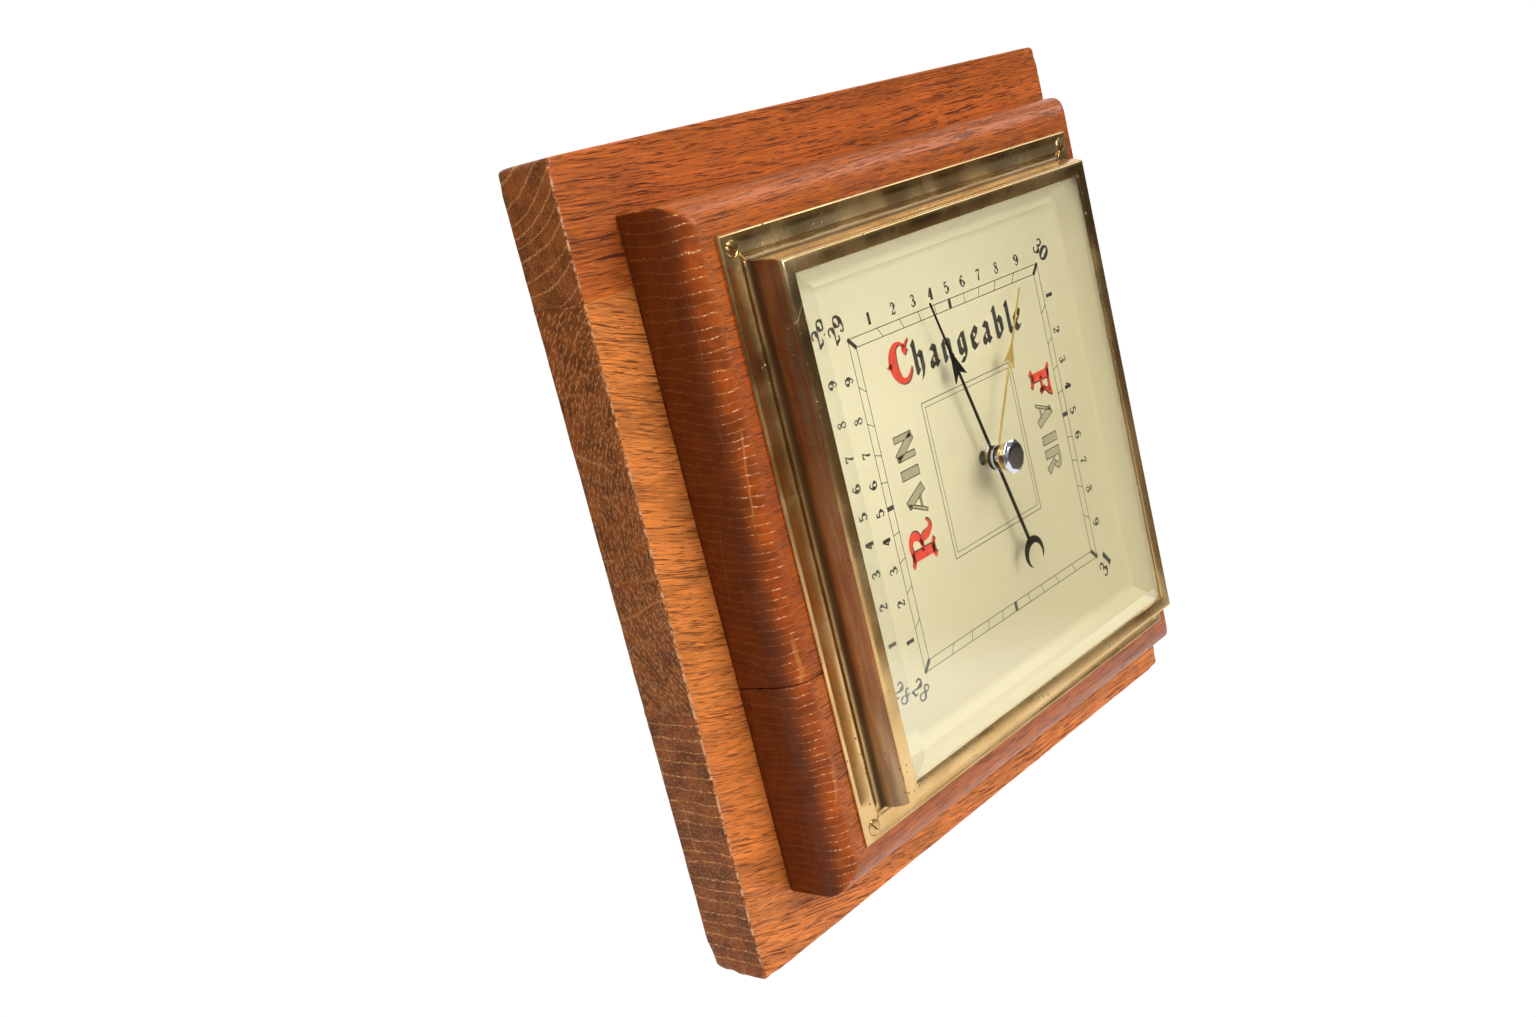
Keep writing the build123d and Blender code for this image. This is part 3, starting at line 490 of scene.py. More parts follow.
# ---- kinds of material
def oak(name, pith, spacing, face, streak, shift, end, end_line, gloss, lines=0.8, lean=0.0, mesh=0.0,
        painted_side_shade=0.8):
    """Oak cut lengthways along X: rings about a pith line, pores as tubes, so end and face grain agree.

    pith is the (depth, z) of the tree's heart, and spacing the width of a ring. face and streak colour the
    long grain, and lean is its slope at the left end. end and end_line colour the end grain, where the pores
    show as light dotted lines, with painted highlights (pale glints) on the rounds. lines is how strongly
    they show, mesh how strongly the fine rays do, and the last argument how strongly painted shade darkens
    the squarest cut, as if that side lay in shade. shift makes one plank differ from another.
    """
    s = Shader(name)
    slow = s.noise(s.stretch(200, 22, 22, (shift, shift, 0)), 1, output="Color")
    sway = s.vector("SCALE", s.vector("SUBTRACT", slow, (0.5, 0.5, 0.5)), scale=5.0)
    x, y, z = s.axes(s.vector("ADD", s.place, sway))
    from_pith_y, from_pith_z = y + pith[0], z - pith[1]
    distance = s.math("SQRT", from_pith_y**2.0 + from_pith_z**2.0)
    around = s.math("ARCTAN2", from_pith_z, from_pith_y) * math.hypot(MIDDLE_DEPTH - pith[0], pith[1])

    def in_rings(length, width, height):
        return s.join(x / length, around / width, distance / height)

    # wide rays stand across the rings, and each ring sags a little between two of them
    drift = s.noise(s.join(x / 120.0, around / 13.0, shift), 1)
    in_gap = abs(s.math("FRACT", around / 5.2 + drift * 1.3) - 0.5)
    wide_rays = s.band(in_gap, 0.43, 0.48) * s.band(s.noise(in_rings(60.0, 4.0, 30.0), 1), 0.54, 0.64)
    uneven = s.noise(s.join(x / 200.0, 3.0, distance / 9.0), 1)
    wobble = s.noise(s.stretch(90, 2.6, 2.6, (shift, 3, 0)), 2)
    rings = distance / spacing + uneven * 1.5 + wobble * 0.24
    phase = s.math("FRACT", rings + in_gap**2.0 * (1.1 / spacing))
    early = s.band(phase, 0.0, 0.03) * s.fade(phase, 0.11, 0.17)

    # pores in rows along the rings, and fibres and a weave of fine rays across them
    pore = s.fade(s.cells(in_rings(7.0, 0.95, 0.7)), 0.28, 0.50)
    fibre = s.noise(in_rings(7.0, 0.62, 1.5), 3, 0.65)
    weave = s.fade(s.cells(in_rings(30.0, 1.1, 0.6)), 0.22, 0.5)

    # long grain: thin dark lines of two lengths in clusters, over fine silky tones
    left = s.math("MAXIMUM", STRAIGHT_FROM - x, 0.0)
    run_z = left**2.0 * (lean / 2 / (STRAIGHT_FROM + BOARD_REACH)) + z

    def grain(length, across, offset, detail, rough=0.5):
        return s.noise(s.join(x / length, y / across + offset, run_z / across + shift), detail, rough)

    run_z = run_z + grain(16.0, 9.0, 2.0, 1) * 1.3
    clusters = s.band(grain(40.0, 4.0, 7.0, 2), 0.38, 0.58, 0.15, 1.0)
    long_dash = s.band(grain(20.0, 0.62, 1.0, 3, 0.6), 0.56, 0.62) * clusters
    short_dash = s.band(grain(7.0, 0.38, 5.0, 2), 0.57, 0.64) * 0.8
    dashes = s.math("MAXIMUM", long_dash, short_dash)
    silk = grain(15.0, 0.6, 3.0, 4, 0.65)
    dark_face = toned(face, 0.66)
    long_colour = s.over(
        dark_face,
        (s.band(grain(60.0, 8.0, 9.0, 3), 0.32, 0.62), face),
        (s.band(silk, 0.48, 0.66) * 0.7, toned(face, 1.35)),
        (s.fade(silk, 0.34, 0.48) * 0.5, dark_face),
        (early * 0.2, streak),
        (dashes * 0.9, streak),
    )

    # end grain: blotches, fibres, rays and rows of pores, with painted glints on the rounds, and painted
    # shade the squarer it is cut
    square_cut = abs(s.axes(s.normal)[0])
    blotch = s.noise(s.stretch(40, 6, 6, (shift, 2, 2)), 4, 0.6)
    dark_end = toned(end, 0.5)
    row = early * (pore * 0.75 + 0.25)
    # painted highlight: pores on the rounds, cut neither square nor lengthways, are painted as pale glints
    painted_glint = s.band(square_cut, 0.12, 0.45) * s.fade(square_cut, 0.78, 0.96)
    end_colour = s.over(
        dark_end,
        (s.band(blotch, 0.34, 0.64), end),
        (s.fade(fibre, 0.34, 0.50) * 0.55, dark_end),
        (weave * mesh, end_line),
        (wide_rays * 0.26, end_line),
        (row * lines, s.mix(painted_glint * pore * lines, end_line, PAINTED_PORE_GLINT)),
        # painted shade: the squarer a face is cut across the grain, the darker it is painted, which shades
        # the block's sides
        (s.band(square_cut, 0.55, 0.98) * painted_side_shade, toned(end, 0.2)),
    )
    ends = s.band(square_cut, 0.10, 0.42)

    # the board's front arrises are painted pale in nicks: wear, with a painted glint along the edge
    across, out, _ = s.axes(s.place)
    arris = s.band(abs(across), BOARD_REACH - 0.9, BOARD_REACH - 0.1)
    arris = arris * s.band(-out, BOARD_FRONT - 0.7, BOARD_FRONT - 0.1)
    nicks = s.band(s.cloud(1.6, 2, offset=(5, 5, 5)), 0.45, 0.6)
    colour = s.over(long_colour, (ends, end_colour), (arris * nicks * 0.7, PALE_WEAR_AND_GLINT))

    open_pores = s.mix(ends, dashes, row)
    wavy = s.noise(s.stretch(30, 5, 5, (2, shift, 0)), 2)
    relief = s.bump(-open_pores, 0.12, 0.8, below=s.bump(wavy, 0.20, 0.5))
    rough = s.band(wavy, 0.3, 0.7, 0.42, 0.58) + open_pores * 0.2
    polish = s.band(ends, 0.0, 1.0, gloss, gloss * 0.1)
    return s.set(colour=colour, roughness=rough, normal=relief, coat=polish, coat_roughness=0.22,
                 coat_normal=relief, specular=0.2)


def brass(name, clean, dull, rough, pits=0.0, crevice=None, wall=None):
    """Brass, mottled between two colours, with scratches and dark pits.

    crevice is the reach where dark patina gathers. wall is the (inner, outer) reach of the left side wall,
    which has a film on it, and a crack in its solder with a painted highlight on the crest above it.
    """
    s = Shader(name)
    x, y, z = s.axes(s.place)
    depth = -y
    cloud = s.cloud(26, 4, 0.55)
    colour = s.mix(s.band(cloud, 0.30, 0.70), dull, clean)
    pit = s.fade(s.cells(s.place, 0.42), 0.05, 0.22) * s.band(cloud, 0.45, 0.6)
    dark = pit * pits
    if crevice:
        near = s.fade(abs(s.math("MAXIMUM", abs(x), abs(z)) - crevice), 0.2, 1.5)
        low = s.fade(depth, BLOCK_FRONT + 2.5, BLOCK_FRONT + 6.5)
        dark = s.math("MAXIMUM", dark, near * low * 0.85)
    base_rough = s.band(s.cloud(22, 4, offset=(3, 1, 2)), 0.32, 0.68, *rough)
    if wall:
        inner, outer = wall
        side = s.band(x, -inner, -inner - 0.3) * s.band(x, -outer - 0.5, -outer - 0.1)
        up_wall = s.band(depth, BLOCK_FRONT + 1.6, BLOCK_FRONT + 2.6)
        below_crest = s.fade(depth, BEZEL_FRONT - 1.3, BEZEL_FRONT - 1.2)
        streaks = s.band(s.noise(s.stretch(3, 3, 26, (5, 0, 1)), 4), 0.36, 0.64)
        film = side * up_wall * below_crest * (streaks * 0.3 + 0.7)
        colour = s.mix(film, colour, s.mix(s.band(z, -85.0, -30.0), GREY_FILM, COPPER_FILM))
        base_rough = film * 0.16 + base_rough

        from_crack = z - (x * CRACK_SLOPE + CRACK_HEIGHT) + s.cloud(0.8, 2) * 0.5
        beyond_glass = s.band(x, -DIAL_RIM + 1.5, -DIAL_RIM + 1.0)
        crack = s.fade(abs(from_crack), 0.08, 0.26) * beyond_glass
        crack = crack * s.band(depth, BEZEL_FRONT - 4.0, BEZEL_FRONT - 3.0)
        crest = s.band(depth, BEZEL_FRONT - 1.3, BEZEL_FRONT - 1.1)
        # painted highlight: the crest above the crack is painted bright
        colour = s.mix(s.band(from_crack, 0.0, 0.2) * beyond_glass * crest * 0.7, colour, PAINTED_CREST_HIGHLIGHT)
        dark = s.math("MAXIMUM", dark, crack)
    colour = s.mix(dark, colour, BRASS_PATINA)
    roughness = base_rough + dark * 0.22
    normal = s.bump(s.noise(s.stretch(12, 6, 12), 1), 0.10, 0.6)
    normal = s.bump(s.noise(s.stretch(9, 0.25, 9), 2), 0.006, 0.6, below=normal)
    if pits:
        normal = s.bump(-pit, 0.08, 0.8, below=normal)
    if wall:
        normal = s.bump(-crack, 0.15, 0.9, below=normal)
    return s.set(colour=colour, metallic=1.0, roughness=roughness, normal=normal)


def metal(name, colour, rough=(0.25, 0.4), grain=(0.4, 0.4, 0.4), tint=0.75):
    """A worked metal with faint turned or rubbed marks along the longer of the grain sizes."""
    s = Shader(name)
    cloud = s.cloud(9, 4)
    shade_ = s.mix(s.band(cloud, 0.35, 0.65), toned(colour, tint), colour)
    marks = s.bump(s.noise(s.stretch(*grain), 3), 0.004, 0.5)
    return s.set(colour=shade_, metallic=1.0, roughness=s.band(cloud, 0.3, 0.7, *rough), normal=marks)


def painted(name, colour, other, rough=0.5, size=20.0, texture=0.01):
    """A painted, printed or card surface, with slow changes of tone and a fine tooth."""
    s = Shader(name)
    shade_ = s.mix(s.band(s.cloud(size, 5, 0.55), 0.35, 0.68), colour, other)
    return s.set(colour=shade_, roughness=rough, normal=s.bump(s.cloud(0.35, 2), texture, 0.4))


def aged_dial(name, light, dark):
    """Old enamelled card with a painted light falloff: painted shade deepens it towards its lower right. It
    has a fine tooth.
    """
    s = Shader(name)
    x, _, z = s.axes(s.place)
    # painted light falloff: lighter at the upper left and shaded towards the lower right, broken up by a
    # random cloud
    painted_falloff = s.cloud(40, 5, 0.55) * 60.0 + (z - x)
    colour = s.mix(s.band(painted_falloff, -30.0, 130.0), dark, light)
    colour = s.mix(s.band(s.cloud(1.1, 3), 0.35, 0.65, 0.0, 0.05), colour, toned(dark, 0.7))
    tooth = s.bump(s.cloud(0.35, 2), 0.004, 0.4)
    return s.set(colour=colour, roughness=0.42, coat=0.15, coat_roughness=0.15, normal=tooth)


def hatched(name, paper, ink):
    """The print inside an outlined letter: two sets of fine slanting lines."""
    s = Shader(name)
    x, _, z = s.axes(s.place)
    sets = [s.fade(abs(s.math("FRACT", (x + z * lean) * 1.25) - 0.5), 0.10, 0.22) for lean in (1.0, -1.0)]
    return s.set(colour=s.mix(s.math("MAXIMUM", *sets) * 0.85, paper, ink), roughness=0.5)


def clear_glass(name):
    """Clear plate glass that lets the lamps' light through to the dial."""
    s = Shader(name)
    s.set(colour=(0.97, 0.99, 0.97), roughness=0.0, transmission=1.0, ior=1.55)
    clear = s.node("ShaderNodeBsdfTransparent")
    clear.inputs[0].default_value = (0.95, 0.97, 0.95, 1.0)
    s.split_rays("Is Shadow Ray", s.surface, clear)
    return s.material


# ---- materials
MIDDLE_DEPTH = 30.0
STRAIGHT_FROM = 40.0
CRACK_SLOPE, CRACK_HEIGHT = 1.1, 156.0

# painted highlight on the bezel's left crest, above the crack
PAINTED_CREST_HIGHLIGHT = srgb(250, 226, 172)
BRASS_CLEAN = srgb(234, 202, 146)
BRASS_DULL = srgb(216, 177, 116)
BRASS_PATINA = srgb(66, 46, 28)
COPPER_FILM = srgb(168, 106, 72)
GREY_FILM = srgb(158, 130, 104)
# pale wear with a painted glint, on the board's front arrises
PALE_WEAR_AND_GLINT = srgb(236, 190, 150)
# painted highlight: the pale glint colour painted on the pores of the rounds
PAINTED_PORE_GLINT = srgb(252, 212, 172)
CREAM = srgb(229, 217, 183)
# painted shade: the dial's colour towards its lower right
CREAM_IN_PAINTED_SHADE = srgb(200, 187, 152)
INK = srgb(38, 34, 30)
RED = srgb(226, 62, 36)

BOARD_FACE = srgb(222, 132, 62)
BOARD_STREAK = srgb(92, 42, 16)
BOARD_ENDS = {"end": srgb(154, 82, 36), "end_line": srgb(238, 176, 108), "gloss": 0.15, "painted_side_shade": 0.0}
BLOCK_FACE = srgb(178, 90, 26)
BLOCK_STREAK = srgb(96, 40, 12)
BLOCK_ENDS = {"end": srgb(172, 78, 14), "end_line": srgb(240, 164, 92), "gloss": 0.55}

looks = {
    "board_top": oak("oak_board_top", (-10, 150), 4.4, srgb(190, 98, 38), srgb(72, 28, 10), 1.7,
                     lean=-0.08, mesh=0.25, **BOARD_ENDS),
    "board_middle": oak("oak_board_middle", (72, 14), 2.2, BOARD_FACE, BOARD_STREAK, 5.1,
                        lines=0.5, lean=-0.34, mesh=0.38, **BOARD_ENDS),
    "board_bottom": oak("oak_board_bottom", (8, 180), 4.1, srgb(222, 128, 60), BOARD_STREAK, 8.4,
                        lean=-0.32, mesh=0.2, **BOARD_ENDS),
    "block_top": oak("oak_block_top", (44, 270), 3.5, BLOCK_FACE, BLOCK_STREAK, 12.2, **BLOCK_ENDS),
    "block_middle": oak("oak_block_middle", (64, 230), 2.8, srgb(170, 80, 24), BLOCK_STREAK, 15.9,
                        **BLOCK_ENDS),
    "block_bottom": oak("oak_block_bottom", (26, -280), 2.6, BLOCK_FACE, BLOCK_STREAK, 19.3, **BLOCK_ENDS),
    "bezel": brass("aged_brass", BRASS_CLEAN, BRASS_DULL, (0.16, 0.36), 0.8, 84.3, (82.2, 84.6)),
    "screw": brass("screw_brass", srgb(226, 194, 136), srgb(178, 142, 88), (0.2, 0.32), 0.8),
    "brass": brass("movement_brass", srgb(205, 170, 96), srgb(170, 134, 66), (0.25, 0.4)),
    "set_brass": brass("set_hand_brass", srgb(236, 204, 122), srgb(222, 184, 100), (0.42, 0.52)),
    "steel": metal("steel", srgb(178, 178, 180)),
    "spring_steel": metal("spring_steel", srgb(120, 124, 134), grain=(6, 0.5, 0.5)),
    "nickel_silver": metal("nickel_silver", srgb(196, 194, 184), (0.35, 0.5)),
    "iron": painted("black_iron", srgb(40, 40, 42), srgb(58, 58, 60), texture=0.05),
    "blued": metal("blued_steel", srgb(20, 19, 22), (0.35, 0.5)),
    "nickel": metal("nickel", srgb(214, 221, 234), (0.05, 0.12), tint=0.8),
    "card": painted("card", srgb(150, 140, 118), srgb(128, 118, 98), 0.8, texture=0.05),
    "dial": aged_dial("dial_enamel", CREAM, CREAM_IN_PAINTED_SHADE),
    "ink": painted("ink", INK, srgb(54, 48, 42), size=3.0),
    "red": painted("red_ink", RED, srgb(206, 50, 30), size=3.0),
    "hatch": hatched("hatched_ink", srgb(214, 203, 160), INK),
    "glass": clear_glass("plate_glass"),
}

SLOT_LOOKS = {
    "aged_brass": "bezel", "movement_brass": "brass", "blued_steel": "blued", "set_hand_brass": "set_brass",
    "dial_enamel": "dial", "plate_glass": "glass", "oak": "block_middle", "oak_board": "board_middle",
}
for part in frame["record"]["subparts"]:
    cad = frame["nodes"][part["node"]]
    slot = part["material_slot"]
    cad.data.materials.clear()
    cad.data.materials.append(looks[SLOT_LOOKS.get(slot, slot)])


# ---- oak board
FINE = (0.0, 0.08, 0.2, 0.4, 0.7, 1.1, 1.7, 2.6, 4.0)
GLUED_EDGE = 0.10


def board_plank(side, seam_low, seam_high):
    """One plank of the back board, its outer arrises worn and its glued edges tight."""
    name, node = "board_" + side, "board_plank_" + side
    low, high = node_box(node)
    stations = [near_ends(low[axis], high[axis], fine) for axis, fine in enumerate((FINE, FINE[:6], FINE))]
    points, faces = box_skin(*stations)
    moved = []
    for p in points:
        wear = max(0.22, 0.62 + 0.30 * wander(*p, 9.0, 2.0) + 0.22 * wander(*p, 2.6, 4.0))
        corner = abs(p[0]) > 120.0 and abs(p[2]) > 119.5
        if corner:
            wear += 0.9 + 0.5 * wander(*p, 3.0, 6.0)
        back_foot = p[0] < -115.0 and p[1] > -8.0 and p[2] < -117.0
        if back_foot:
            wear += 1.4
        z_radii = [GLUED_EDGE if seam_low else wear, GLUED_EDGE if seam_high else wear]
        by_seam = (seam_low and p[2] - low[2] < 0.6) or (seam_high and high[2] - p[2] < 0.6)
        y_wear = min(wear, 0.16) if by_seam else wear
        moved.append(Vector(round_box_point(p, low, high, ((wear, wear), (y_wear, y_wear), z_radii))) * MM)
    return new_piece(name, moved, faces, name, slot="oak_board", replaces=(node,))


planks = [
    board_plank("bottom", False, True),
    board_plank("middle", True, True),
    board_plank("top", True, False),
]


# ---- oak block
SEAM_EDGE = 0.3
SEAM_FADE = 1.2
CORNER_EASE = 0.9
ROUND_STEPS = 16
EDGE = 1e-3


def block_depth(x, z):
    """Depth of the block's front: flat, with quarter rounds at its sides that meet in soft mitres."""

    def rounded(t):
        t = min(max(t, 0.0), BLOCK_ROUND)
        return BLOCK_FRONT - BLOCK_ROUND + math.sqrt(max(0.0, BLOCK_ROUND**2 - (BLOCK_ROUND - t) ** 2))

    a, b = rounded(BLOCK_REACH - abs(x)), rounded(BLOCK_REACH - abs(z))
    soft = 1.1
    h = max(soft - abs(a - b), 0.0) / soft
    fade = min(1.0, (BLOCK_FRONT - min(a, b)) / 2.0)
    return min(a, b) - h * h * soft * 0.25 * fade


def round_stations(low, high):
    """Stations across the block: dense in the quarter rounds and the seams' edges, else 3 mm apart."""
    stations = set()
    for i in range(ROUND_STEPS + 1):
        t = BLOCK_ROUND * (1 - math.cos(math.pi / 2 * i / ROUND_STEPS))
        stations.update(round(v, 5) for v in (-BLOCK_REACH + t, BLOCK_REACH - t) if low <= v <= high)
    flat_low, flat_high = max(low, -BLOCK_REACH + BLOCK_ROUND), min(high, BLOCK_REACH - BLOCK_ROUND)
    count = round((flat_high - flat_low) / 3.0)
    stations.update(round(flat_low + (flat_high - flat_low) * i / count, 5) for i in range(count + 1))
    for edge, sign in ((low, 1), (high, -1)):
        if abs(edge) < BLOCK_REACH - 1:
            stations.update(round(edge + sign * t, 5) for t in (0.0, 0.06, 0.15, 0.3, 0.6, 1.2))
    ordered = sorted(stations)
    return [v for i, v in enumerate(ordered) if i == 0 or v - ordered[i - 1] > 1e-4]


def block_plank(side, gap_low, gap_high):
    """One plank of the raised block. A gap is the seam's width at its left and right ends."""
    name, node = "block_" + side, "block_plank_" + side
    low, high = node_box(node)
    wall_depths = [BOARD_FRONT + step for step in (0.0, 0.35, 0.55, 0.95)]
    wall_top = BLOCK_FRONT - BLOCK_ROUND
    wall_depths += [wall_depths[-1] + (wall_top - wall_depths[-1]) * i / 6 for i in range(1, 6)]
    levels = len(wall_depths)
    xs, zs = round_stations(-BLOCK_REACH, BLOCK_REACH), round_stations(low[2], high[2])
    points, faces = box_skin(xs, range(levels + 1), zs)
    moved = []
    for x, level, z in points:
        front = block_depth(x, z)
        depth = front if level == levels else min(wall_depths[level], front)
        out_x, out_z = BLOCK_REACH - abs(x), BLOCK_REACH - abs(z)
        # the foot of each side wall is eased, and stands off the board a little on the left side
        foot = {0: 1.0, 1: 0.8, 2: 0.2}.get(level, 0.0)
        foot_x, foot_z = (foot if out < EDGE else 0.0 for out in (out_x, out_z))
        new_x, new_z = x - math.copysign(foot_x, x), z - math.copysign(foot_z, z)
        if level == 0 and x < -BLOCK_REACH + 3:
            depth += 0.25 * math.exp(-(((z + 30) / 45) ** 2))
        # the upright corners are eased
        if out_x < CORNER_EASE and out_z < CORNER_EASE:
            u, w = (CORNER_EASE - out_x) / CORNER_EASE, (CORNER_EASE - out_z) / CORNER_EASE
            length = math.hypot(u, w)
            if length > 0:
                round_off = CORNER_EASE * max(u, w) / length
                new_x = math.copysign(BLOCK_REACH - CORNER_EASE + round_off * u - foot_x, x)
                new_z = math.copysign(BLOCK_REACH - CORNER_EASE + round_off * w - foot_z, z)
        # seams: a small round on the front edge, and the open gap
        for edge, gaps, sign in ((low[2], gap_low, 1), (high[2], gap_high, -1)):
            if gaps is None:
                continue
            t = (z - edge) * sign
            if t < SEAM_EDGE and level == levels:
                share = 1 - t / SEAM_EDGE
                depth -= SEAM_EDGE * (1 - math.sqrt(max(0.0, 1 - share * share)))
            if t < SEAM_FADE:
                across = (x + BLOCK_REACH) / (2 * BLOCK_REACH)
                opening = gaps[0] * (1 - across) + gaps[1] * across
                wobble = 0.5 * gaps[0] * wander(x, depth, 0.0, 14.0, 3.0)
                slope = 0.05 * (depth - BOARD_FRONT) * (1 - across) if gaps[0] > 0.1 else 0.0
                new_z += (sign * opening / 2 + wobble + slope) * (1 - t / SEAM_FADE)
        if level == levels and min(out_x, out_z) < BLOCK_ROUND:
            depth += 0.10 * wander(x, depth, z, 7.0, 8.0) + 0.05 * wander(x, depth, z, 2.2, 1.0) - 0.12
        moved.append(point(new_x, depth, new_z))
    return new_piece(name, moved, faces, name, slot="oak", replaces=(node,), sharp=50)


OPEN_GAP, TIGHT_GAP = (0.6, 0.12), (0.05, 0.05)
planks += [
    block_plank("bottom", None, OPEN_GAP),
    block_plank("middle", OPEN_GAP, TIGHT_GAP),
    block_plank("top", TIGHT_GAP, None),
]

# the round hole for the movement, and the recess and pocket for the hanging plate
for plank in planks:
    cut(plank, tool(*lathe([(CASE_HOLE_R, -5.0), (CASE_HOLE_R, BLOCK_FRONT + 5.0)], steps=128)))
    shade(plank.data, 50)

hanger_low, hanger_high = node_box("hanger_plate")
hanger_thick = -hanger_low[1]
centre_x, centre_z = ((hanger_high[axis] + hanger_low[axis]) / 2 for axis in (0, 2))
size_x, size_z = (hanger_high[axis] - hanger_low[axis] + 0.4 for axis in (0, 2))
recess = bar((centre_x, hanger_thick / 2 - 1.0, centre_z), (size_x, hanger_thick + 2.0, size_z))
pocket = bar((0.0, hanger_thick + 3.9, 105.5), (13.0, 8.2, 20.0))
board_top = planks[2]
for hollow in (recess, pocket):
    cut(board_top, tool(*hollow))
shade(board_top.data, 50)


# ---- brass bezel
def bezel_profile():
    """(reach, depth) round the bezel's section, from the back of the lip outward and over the front."""
    foot = [(78.0, 12.1), (80.3, 12.1), (80.3, 0.0), (93.3, 0.0), (93.4, 0.3), (93.35, 0.9), (93.1, 1.25),
            (92.75, 1.5)]
    flange = arc((92.6, 1.5), (89.9, 1.28), (87.5, 1.6), 10)
    bead = arc((87.5, 1.6), (86.9, 1.74), (86.3, 1.62), 6)
    hollow = arc((86.3, 1.62), (84.95, 1.95), (84.1, 3.3), 10)
    wall = arc((84.1, 3.3), (83.9, 7.4), (82.95, 11.55), 16)
    line = [(82.93, 11.6), (82.74, 11.74), (82.86, 11.9)]
    crest = arc((82.86, 11.95), (82.62, 12.72), (81.9, 12.99), 10)
    top = [(81.85, 13.0), (81.2, 13.0), (78.6, 12.9), (78.16, 12.78), (78.0, 12.5), (78.0, 12.1)]
    return [(u, BLOCK_FRONT + h) for u, h in foot + flange + bead + hollow + wall + line + crest + top]


def hand_worked(x, z, depth):
    """Slight unevenness of a bezel shaped and soldered by hand, as (outward, forward)."""
    if depth <= BLOCK_FRONT + 0.01:
        return -0.05, 0.0
    lift = min(0.04 * wander(x, depth, z, 28.0, 5.0), 0.0)
    if depth > BLOCK_FRONT + 3:
        return 0.07 * wander(x, depth, z, 34.0, 9.0), lift
    out = 0.03 * wander(x, 0, z, 20.0, 2.0)
    return min(out, 0.0) if depth < BLOCK_FRONT + 1.6 else out, lift


bezel = new_piece("bezel_frame", *square_loops(bezel_profile(), 72, hand_worked), "bezel", slot="aged_brass",
                  replaces=("bezel",), sharp=32)
SIDES = (-1, 1)
SCREW_PLACES = [(x * SCREW_REACH, z * SCREW_REACH) for x in SIDES for z in SIDES]
SCREW_HOLE = [(1.3, -2.0), (1.3, 0.2), (2.45, 1.15), (2.62, 1.2), (2.7, 6.0)]
for place in SCREW_PLACES:
    cut(bezel, tool(*lathe([(radius, BLOCK_FRONT + above) for radius, above in SCREW_HOLE], place)))
shade(bezel.data, 32)


def solder_seam(sx, sz):
    """The lumpy line of solder across the flange at one corner, from the screw to the wall's foot."""
    points = []
    sides, steps = 10, 26
    start, end = 87.1, 83.9
    for i in range(steps + 1):
        t = i / steps
        u = start + (end - start) * t
        lift = BLOCK_FRONT + 1.95 + 0.5 * t
        taper = math.sin(math.pi * (0.12 + 0.76 * t)) ** 0.5
        radius = (0.34 + 0.12 * wander(u * 3, 0, 0, 1.0, sx + 2 * sz)) * taper
        off = 0.14 * wander(u, 3, 1, 1.1, 4 * sx + sz)
        for k in range(sides):
            a = 2 * math.pi * k / sides
            side = (radius * math.cos(a) + off) / math.sqrt(2)
            points.append(point(sx * (u + side), lift + 0.6 * radius * math.sin(a), sz * (u - side)))
    return points, tube(steps + 1, sides)


new_piece("bezel_solder", *joined([solder_seam(sx, sz) for sx in SIDES for sz in SIDES]), "bezel",
          slot="aged_brass", sharp=60)


def slotted_head(place, angle):
    """A raised countersunk head with a worn slot, as a loose mesh."""
    base = BLOCK_FRONT + 1.2
    radius, rim, crown = 2.42, 0.08, 0.42
    profile = [(0.9, base - 6.0), (1.2, base - 1.2), (radius - 0.12, base - 0.12), (radius, base)]
    profile.append((radius, base + rim))
    for i in range(1, 9):
        a = math.pi / 2 * i / 8
        profile.append((radius * math.cos(a) * 0.985 + 0.001, base + rim + crown * math.sin(a)))
    head = tool(*lathe(profile, place))
    cut(head, tool(*bar((place[0], base + crown, place[1]), (2.6 * radius, 2.0, 0.6), angle)))
    soften(head, 0.05, 2, 35)
    apply_modifiers(head)
    return head


def gather(name, heads, look, node):
    """Joins loose meshes into one piece."""
    edit = bmesh.new()
    for head in heads:
        edit.from_mesh(head.data)
        bpy.data.objects.remove(head)
    mesh = bpy.data.meshes.new(name)
    edit.to_mesh(mesh)
    edit.free()
    finish_piece(add_object(name, mesh), look, "body", (node,), 40)


SLOT_ANGLES = (-0.95, -0.62, 0.5, 1.1)
heads = [slotted_head(place, angle) for place, angle in zip(SCREW_PLACES, SLOT_ANGLES)]
gather("bezel_screw_heads", heads, "screw", "bezel_screws")


